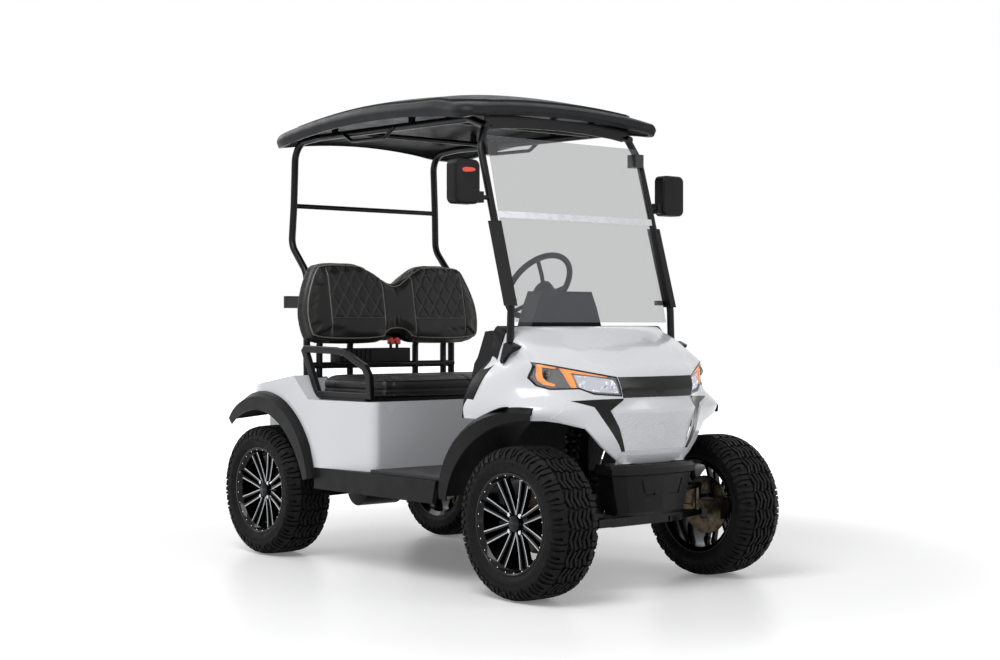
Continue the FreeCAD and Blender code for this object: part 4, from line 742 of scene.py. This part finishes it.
def insetOutline(outline, amount):
    # moves each side of a closed outline inwards by an amount
    way = 1 if sum(a[0] * b[1] - b[0] * a[1] for a, b in sidesOf(outline)) > 0 else -1
    points = []
    for before, (here, after) in zip([outline[-1], *outline[:-1]], sidesOf(outline)):
        one = (Vector(here) - Vector(before)).normalized()
        two = (Vector(after) - Vector(here)).normalized()
        left = Vector((-one.y - two.y, one.x + two.x)) * way
        spread = max(0.35, 1 + one.dot(two))
        points.append(tuple(Vector(here) + left * amount / spread))
    return points


def insideOf(outline, place):
    inside = False
    for one, two in sidesOf(outline):
        if (one[1] > place[1]) != (two[1] > place[1]):
            cross = one[0] + (place[1] - one[1]) * (two[0] - one[0]) / (two[1] - one[1])
            inside ^= place[0] < cross
    return inside


def filled(outline, step, jitter=0.0):
    # points and triangles that fill an outline; the rim's points come first, in order
    rim = denser(outline, step)
    points = [Vector(p) for p in rim]
    low = [min(p[i] for p in rim) for i in (0, 1)]
    high = [max(p[i] for p in rim) for i in (0, 1)]
    near = insetOutline(rim, step * 0.35)
    across, up = (int((high[i] - low[i]) / step) + 1 for i in (0, 1))
    for i in range(across):
        for j in range(up):
            place = Vector((low[0] + (i + 0.5 * (j % 2)) * step + jitter * random.uniform(-1, 1),
                            low[1] + (j + 0.5) * step + jitter * random.uniform(-1, 1)))
            if insideOf(near, place):
                points.append(place)
    count = len(rim)
    result = geometry.delaunay_2d_cdt(points, [(i, (i + 1) % count) for i in range(count)],
                                      [list(range(count))], 1, 1e-7)
    return count, result[0], result[2]


def addDraped(shape, outline, place, depths, step=0.012, materialIndex=0, relief=None):
    # a slab between two depths under the surface that place(y, z, depth) follows
    top, bottom = depths
    count, points, triangles = filled(outline, step, 0.25 * step if relief else 0.0)
    deep = [shape.verts.new(place(p[0], p[1], bottom)) for p in points[:count]]
    upper = [shape.verts.new(place(p[0], p[1], top + (relief() if relief and i >= count else 0)))
             for i, p in enumerate(points)]
    for triangle in triangles:
        shape.faces.new([upper[i] for i in triangle]).material_index = materialIndex
    bridge(shape, upper[:count], deep, materialIndex)
    shape.faces.new(list(reversed(deep))).material_index = materialIndex


noseRays = {
    "from": 1.4,
    "farthestBack": 0.7,
    "reaches": (0.0016, 0.004, 0.01, 0.02),
    "around": ((0, 0), (1, 0), (-1, 0), (0, 1), (0, -1)),
    "dip": 0.004,
    "near": 0.006,
}


def frontOf(*names):
    # place(y, z, depth) under the front surface of some nodes
    graph = bpy.context.evaluated_depsgraph_get()
    trees = [BVHTree.FromObject(nodes[name], graph) for name in names]

    def frontAt(y, z):
        hits = [tree.ray_cast(Vector((noseRays["from"], y, z)), Vector((-1, 0, 0)))[0]
                for tree in trees]
        return max((h.x for h in hits if h and h.x > noseRays["farthestBack"]), default=None)

    def place(y, z, depth):
        # where a ray slips through a gap at the rim, its neighbours answer for it
        for reach in noseRays["reaches"]:
            xs = [frontAt(y + a * reach, z + b * reach) for a, b in noseRays["around"]]
            known = [x for x in xs if x is not None]
            if known:
                break
        x, most = xs[0], max(known)
        if x is None or x < most - noseRays["dip"]:
            near = sorted(x for x in known if x > most - noseRays["near"])
            x = near[len(near) // 2]
        return Vector((x - depth, y, z))
    return place


# Headlamps: black housing, amber light guides, metallised facets, a projector and a clear cover.
# Outlines are (y, z) on the left side; depths are taken back from the surface of the nose.

lamp = {
    "outline": ((-0.462, 0.893), (-0.206, 0.836), (-0.191, 0.76), (-0.288, 0.768),
                (-0.335, 0.789), (-0.425, 0.787), (-0.458, 0.801), (-0.474, 0.832)),
    "outerGuide": ((-0.45, 0.885), (-0.425, 0.881), (-0.395, 0.8745), (-0.404, 0.8675),
                   (-0.426, 0.8715), (-0.443, 0.8735), (-0.4425, 0.852), (-0.4385, 0.834),
                   (-0.428, 0.818), (-0.406, 0.8085), (-0.406, 0.8005), (-0.432, 0.807),
                   (-0.446, 0.824), (-0.4505, 0.845)),
    "innerGuide": ((-0.383, 0.872), (-0.32, 0.859), (-0.233, 0.8395), (-0.239, 0.834),
                   (-0.3, 0.844), (-0.356, 0.852), (-0.347, 0.82), (-0.34, 0.7905),
                   (-0.35, 0.7925), (-0.364, 0.826)),
    "crystal": ((-0.344, 0.8435), (-0.295, 0.8375), (-0.238, 0.8275), (-0.216, 0.822),
                (-0.205, 0.796), (-0.201, 0.773), (-0.285, 0.779), (-0.305, 0.784),
                (-0.332, 0.797)),
    "rimInset": 0.0008,
    "bezel": 0.0055,
    "bezelDepths": (0.026, 0.0005, 0.001, 0.026),
    "floor": (0.023, 0.027),
    "guideDepths": (0.0045, 0.02),
    "crystalDepths": (0.008, 0.02),
    "crystalRelief": (-0.003, 0.0045),
    "projector": {"y": -0.419, "z": 0.844, "depth": 0.021, "length": 0.009, "radius": 0.0225,
                  "mouth": 0.0195, "lensAt": 0.006, "lensRadius": 0.0165, "lensHeight": 0.0085},
    "guideStep": 0.009,
    "crystalStep": 0.0085,
    "coverStep": 0.01,
    "coverInset": 0.005,
    "coverDepths": (0.0008, 0.003),
}
housing, guide, crystal, glass = range(4)


def buildHeadlamp(shape, side, place):
    def flip(points):
        return [(-side * y, z) for y, z in points]

    def alongRim(points):
        return [Vector(one).lerp(Vector(two), j / 8) for one, two in sidesOf(points)
                for j in range(8)]

    outline = insetOutline(flip(lamp["outline"]), lamp["rimInset"])
    inner = insetOutline(outline, lamp["bezel"])
    addDraped(shape, insetOutline(outline, 0.001), place, lamp["floor"])
    loops = [[shape.verts.new(place(at.x, at.y, depth)) for at in alongRim(points)]
             for points, depth in zip((outline, outline, inner, inner), lamp["bezelDepths"])]
    for one, two in sidesOf(loops):
        bridge(shape, one, two, housing)
    for key in ("outerGuide", "innerGuide"):
        addDraped(shape, flip(lamp[key]), place, lamp["guideDepths"], lamp["guideStep"], guide)
    addDraped(shape, flip(lamp["crystal"]), place, lamp["crystalDepths"], lamp["crystalStep"],
              crystal, lambda: random.uniform(*lamp["crystalRelief"]))
    eye = lamp["projector"]
    centre = place(-side * eye["y"], eye["z"], eye["depth"])
    addCylinder(shape, centre, centre + Vector((eye["length"], 0, 0)), eye["radius"], 28, housing,
                eye["mouth"])
    addDome(shape, centre + Vector((eye["lensAt"], 0, 0)), (1, 0, 0), eye["lensRadius"],
            eye["lensHeight"], 6, 24, glass)


def addHeadlamps():
    place = frontOf("headlamps", "front_cowl")
    for name, side in sides.items():
        def buildCover(shape):
            outline = insetOutline(lamp["outline"], lamp["coverInset"])
            addDraped(shape, [(-side * y, z) for y, z in outline], place, lamp["coverDepths"],
                      lamp["coverStep"])

        inside = meshFrom("headlamp", lambda shape: buildHeadlamp(shape, side, place))
        newPiece("headlamp" + name.title(), inside, ("piano", "amber", "crystal", "projector"),
                 "root", ("headlamps",))
        newPiece("headlampCover" + name.title(), meshFrom("cover", buildCover), ("lens",), "root",
                 ("headlamps",))


addHeadlamps()
print("headlamps made")

# Seats: covers blown up like filled cushions, then drawn in along their seams

seat = {
    "voxel": 0.0075,
    "frames": 20,
    "pressure": 4,
    "seamWidth": 0.0045,
    "stitchDepth": 0.0045,
    "stitchFrom": 0.55,
    "pipingRadius": 0.0026,
    "weltRadius": 0.0028,
    "backBase": (-0.6, 0.948),
    "backLean": 10,
    "backOutline": ((0, 0.05), (0.048, 0.042), (0.066, 0), (0.476, 0), (0.512, 0.06),
                    (0.52, 0.19), (0.446, 0.367), (0.39, 0.397), (0.202, 0.397),
                    (0.146, 0.383), (0.066, 0.335), (0, 0.289)),
    "backLevels": ((-0.0862, 0.016), (-0.08, 0.0105), (-0.03, 0.0105), (-0.019, 0.016),
                   (-0.0135, 0.028), (-0.0125, 0.06)),
    "backHeld": -0.078,
    "backSwell": 0.0105,
    "backFill": 0.8,
    "backWelt": 0.03,
    "seamedFrom": -0.04,
    "quiltFrom": 0.123,
    "diamond": (0.07, 0.105),
    "seamDepth": 0.0055,
    "quiltDepth": 0.0045,
    "quiltWidth": 0.005,
    "innerSeam": {"right": -0.07, "left": 0.104, "foot": 0.02, "top": 0.315},
    "outerSeam": {"right": -0.369, "left": 0.404, "foot": 0.02, "top": 0.375},
    "cushionLow": (-0.596, -0.484),
    "cushionHigh": (-0.095, 0.484),
    "cushionBase": 0.7262,
    "cushionLevels": ((0, 0.01), (0.008, 0.002), (0.03, 0.0), (0.0538, 0.001),
                      (0.0698, 0.01), (0.0778, 0.026), (0.0798, 0.07)),
    "cushionCorners": (0.05, 0.06),
    "cushionHeld": 0.004,
    "cushionSwell": 0.009,
    "cushionFill": 0.85,
    "cushionWelt": 0.02,
    "cushionSeams": {"side": (0.757, 0.0035), "sideBelow": 0.775, "cross": (-0.205, 0.0045),
                     "middle": 0.0045, "ends": (0.405, 0.004)},
}


def lofted(shape, loops):
    # closed form through loops of places with the same count, capped at both ends
    rows = [[shape.verts.new(p) for p in loop] for loop in loops]
    for one, two in zip(rows, rows[1:]):
        bridge(shape, one, two)
    capEnds(shape, rows[0], rows[-1])


def shownMesh(thing):
    graph = bpy.context.evaluated_depsgraph_get()
    mesh = bpy.data.meshes.new_from_object(thing.evaluated_get(graph))
    bpy.data.objects.remove(thing)
    return mesh


def modified(mesh, kind, **settings):
    # the mesh after one modifier
    thing = intoScene("work", mesh)
    modifier = thing.modifiers.new("work", kind)
    for key, value in settings.items():
        setattr(modifier, key, value)
    return shownMesh(thing)


def swollen(mesh, cap, isHeld):
    # remeshed, blown up by the cloth solver and capped; points that isHeld names stay put
    start = modified(mesh, "REMESH", mode="VOXEL", voxel_size=seat["voxel"])
    thing = intoScene("cover", start)
    held = [v.index for v in start.vertices if isHeld(v.co)]
    thing.vertex_groups.new(name="held").add(held, 1.0, "REPLACE")
    cloth = thing.modifiers.new("cloth", "CLOTH")
    cloth.settings.use_pressure = True
    cloth.settings.uniform_pressure_force = seat["pressure"]
    cloth.settings.effector_weights.gravity = 0
    cloth.settings.vertex_group_mass = "held"
    cloth.point_cache.frame_start = 1
    cloth.point_cache.frame_end = seat["frames"]
    for step in range(1, seat["frames"] + 1):
        bpy.context.scene.frame_set(step)
    blown = shownMesh(thing)
    for before, after in zip(start.vertices, blown.vertices):
        move = after.co - before.co
        if move.length > cap:
            after.co = before.co + move * (cap / move.length)
    bpy.context.scene.frame_set(1)
    return blown


def drawnIn(mesh, depthAt):
    # pulls each point in along its normal by the depth of the seams near it
    fine = modified(mesh, "SUBSURF", levels=1, render_levels=1)
    normals = [v.normal.copy() for v in fine.vertices]
    stitch = fine.attributes.new("stitch", "FLOAT", "POINT")
    for vertex, normal, mark in zip(fine.vertices, normals, stitch.data):
        depth = depthAt(vertex.co, normal)
        mark.value = max(0.0, depth / seat["stitchDepth"] - seat["stitchFrom"])
        vertex.co -= normal * depth
    return fine


def groove(distance, depth, width=seat["seamWidth"]):
    return depth * math.exp(-(distance / width) ** 2)


def onBack(y, up, depth):
    lean = math.radians(seat["backLean"])
    x, z = seat["backBase"]
    return Vector((x + depth * math.cos(lean) - up * math.sin(lean), y,
                   z + depth * math.sin(lean) + up * math.cos(lean)))


def offBack(place):
    lean = math.radians(seat["backLean"])
    x, z = place.x - seat["backBase"][0], place.z - seat["backBase"][1]
    return (place.y, -x * math.sin(lean) + z * math.cos(lean),
            x * math.cos(lean) + z * math.sin(lean))


def backDepth(place, normal):
    y, up, depth = offBack(place)
    if depth < seat["seamedFrom"]:
        return 0.0
    total = 0.0
    wide, tall = seat["diamond"]
    above = up - seat["quiltFrom"]
    for side in sides:
        inner, outer = seat["innerSeam"][side], seat["outerSeam"][side]
        for seam in (inner, outer):
            total = max(total, groove(y - seam, seat["seamDepth"]))
        if min(inner, outer) < y < max(inner, outer):
            total = max(total, groove(above, seat["seamDepth"]))
            for way in (-1, 1) if above > 0 else ():
                turn = (y - (inner + outer) / 2) / wide + way * above / tall
                away = abs(turn - round(turn)) / math.hypot(1 / wide, 1 / tall)
                total = max(total, groove(away, seat["quiltDepth"], seat["quiltWidth"]))
    return total


def cushionDepth(place, normal):
    seams = seat["cushionSeams"]
    if normal.z < 0.2 and place.z < seams["sideBelow"]:
        return groove(place.z - seams["side"][0], seams["side"][1])
    return max(groove(place.x - seams["cross"][0], seams["cross"][1]),
               groove(place.y, seams["middle"]),
               groove(abs(place.y) - seams["ends"][0], seams["ends"][1]))


def addSeam(name, target, rays, radius, material, body, cyclic=False):
    # a cord laid on a cover where the rays meet it
    tree = BVHTree.FromPolygons([v.co for v in target.vertices],
                                [tuple(p.vertices) for p in target.polygons])
    hits = [tree.ray_cast(Vector(origin), Vector(direction), 0.4) for origin, direction in rays]
    run = [place + normal * radius * 0.25 for place, normal, index, distance in hits
           if place is not None]
    curve = bpy.data.curves.new(name, "CURVE")
    curve.dimensions = "3D"
    curve.bevel_depth = radius
    curve.bevel_resolution = 3
    curve.resolution_u = 6
    curve.use_fill_caps = True
    line = curve.splines.new("NURBS")
    line.points.add(len(run) - 1)
    for point, place in zip(line.points, run):
        point.co = (*place, 1)
    line.order_u = 3
    line.use_endpoint_u = not cyclic
    line.use_cyclic_u = cyclic
    newPiece(name, curve, (material,), body, smooth=False)


def addCover(name, mesh, body, node):
    piece = newPiece(name, mesh, ("vinyl",), body, (node,), False)
    for face in mesh.polygons:
        face.use_smooth = True


def backRim(step):
    half = list(seat["backOutline"])
    outline = half + [(-y, up) for y, up in reversed(half[1:-1])]
    return denser(softened(outline, 3), step)


def addBackrest():
    rim = backRim(0.02)
    loops = [[onBack(y, up, depth) for y, up in insetOutline(rim, inset)]
             for depth, inset in seat["backLevels"]]
    start = meshFrom("backStart", lambda shape: lofted(shape, loops))
    blown = swollen(start, seat["backSwell"], lambda p: offBack(p)[2] < seat["backHeld"])
    mesh = drawnIn(blown, backDepth)
    addCover("backrestCover", mesh, "root", "backrest")
    ahead = 0.1
    forward = onBack(0, 0, 0) - onBack(0, 0, ahead)
    for name in sides:
        for kind in ("innerSeam", "outerSeam"):
            seam = seat[kind]
            addSeam("back" + kind[0].upper() + kind[1:] + name.title(), mesh,
                    [(onBack(seam[name], between((seam["foot"], seam["top"]), i / 14), ahead),
                      forward) for i in range(15)], seat["pipingRadius"], "piping", "root")
    rim = insetOutline(backRim(0.03), seat["backWelt"])
    addSeam("backEdgeWelt", mesh, [(onBack(y, up, ahead), forward) for y, up in rim],
            seat["weltRadius"], "piping", "root", True)


def addCushion():
    (x0, y0), (x1, y1) = seat["cushionLow"], seat["cushionHigh"]
    back, front = seat["cushionCorners"]
    corners = [(x0, y0 + back), (x0 + back, y0), (x1 - front, y0), (x1, y0 + front),
               (x1, y1 - front), (x1 - front, y1), (x0 + back, y1), (x0, y1 - back)]
    outline = denser(softened(corners, 2), 0.02)
    base = seat["cushionBase"]
    loops = [[(x, y, base + up) for x, y in insetOutline(outline, inset)]
             for up, inset in seat["cushionLevels"]]
    start = meshFrom("cushionStart", lambda shape: lofted(shape, loops))
    blown = swollen(start, seat["cushionSwell"], lambda p: p.z < base + seat["cushionHeld"])
    mesh = drawnIn(blown, cushionDepth)
    for vertex in mesh.vertices:
        vertex.co.z = max(vertex.co.z, base - 0.0005)
    addCover("cushionCover", mesh, "seat_lid", "seat_cushion")
    rim = insetOutline(outline, seat["cushionWelt"])
    addSeam("cushionWelt", mesh, [((x, y, 0.95), (0, 0, -1)) for x, y in rim],
            seat["weltRadius"], "vinyl", "seat_lid", True)


addBackrest()
addCushion()
print("seats made")

# Raised facets and lip of the front mask

mask = {
    "facet": ((0.299, 0.7115), (0.347, 0.732), (0.396, 0.732), (0.455, 0.68), (0.426, 0.6705),
              (0.33, 0.6465), (0.269, 0.5815), (0.2, 0.5235), (0.1885, 0.5415)),
    "lip": ((-0.171, 0.533), (0.171, 0.533), (0.184, 0.512), (0.18, 0.5005),
            (-0.18, 0.5005), (-0.184, 0.512)),
    "depths": (-0.0028, 0.002),
    "step": 0.016,
}


def addMaskRelief():
    place = frontOf("front_cowl")

    def build(shape):
        for side in (-1, 1):
            addDraped(shape, [(side * y, z) for y, z in mask["facet"]], place, mask["depths"],
                      mask["step"])
        addDraped(shape, mask["lip"], place, mask["depths"], mask["step"])

    newPiece("maskRelief", meshFrom("maskRelief", build), ("white",), "root")


# Small plates facing along the cart: mirror glass, an orange repeater on the near mirror, and the
# red release buttons of the two belt buckles

mirror = {
    "glass": ((0.5245, 1.5155), (0.6255, 1.5155), (0.6255, 1.6635), (0.5245, 1.6635)),
    "glassX": (0.53, 0.5332),
    "glassCorner": 0.02,
    "repeater": ((-0.604, 1.644), (-0.54, 1.644), (-0.54, 1.629), (-0.604, 1.623)),
    "repeaterX": (0.584, 0.5865),
    "repeaterChamfer": 0.001,
}
buckle = {"places": (-0.01, 0.026), "x": (-0.678, -0.657), "z": (0.944, 0.9765), "half": 0.0136,
          "slant": 0.004, "chamfer": 0.0025}


def addPlates(name, outlines, span, chamfer, material):
    # flat (y, z) outlines given a thickness along X
    def build(shape):
        for outline in outlines:
            addPrism(shape, outline, lambda a, b, h: (h, a, b), *span, chamfer=chamfer)

    newPiece(name, meshFrom(name, build), (material,), "root")


def cornersCut(outline, amount):
    points = []
    for before, (here, after) in zip([outline[-1], *outline[:-1]], sidesOf(outline)):
        here = Vector(here)
        points += [tuple(here + (Vector(other) - here).normalized() * amount)
                   for other in (before, after)]
    return points


def addMirrors():
    glasses = [[(side * y, z) for y, z in mirror["glass"]] for side in (-1, 1)]
    addPlates("mirrorGlass", [softened(cornersCut(g, mirror["glassCorner"]), 2) for g in glasses],
              mirror["glassX"], 0.0, "silver")
    addPlates("mirrorRepeater", [softened(mirror["repeater"], 1)], mirror["repeaterX"],
              mirror["repeaterChamfer"], "indicator")


def addBuckles():
    low, high = buckle["z"]
    half, slant = buckle["half"], buckle["slant"]
    outlines = [softened([(y - half + slant, low), (y + half + slant, low),
                          (y + half - slant, high), (y - half - slant, high)], 1)
                for y in buckle["places"]]
    addPlates("buckleButtons", outlines, buckle["x"], buckle["chamfer"], "buckle")


addMaskRelief()
addMirrors()
addBuckles()
print("small trim made")
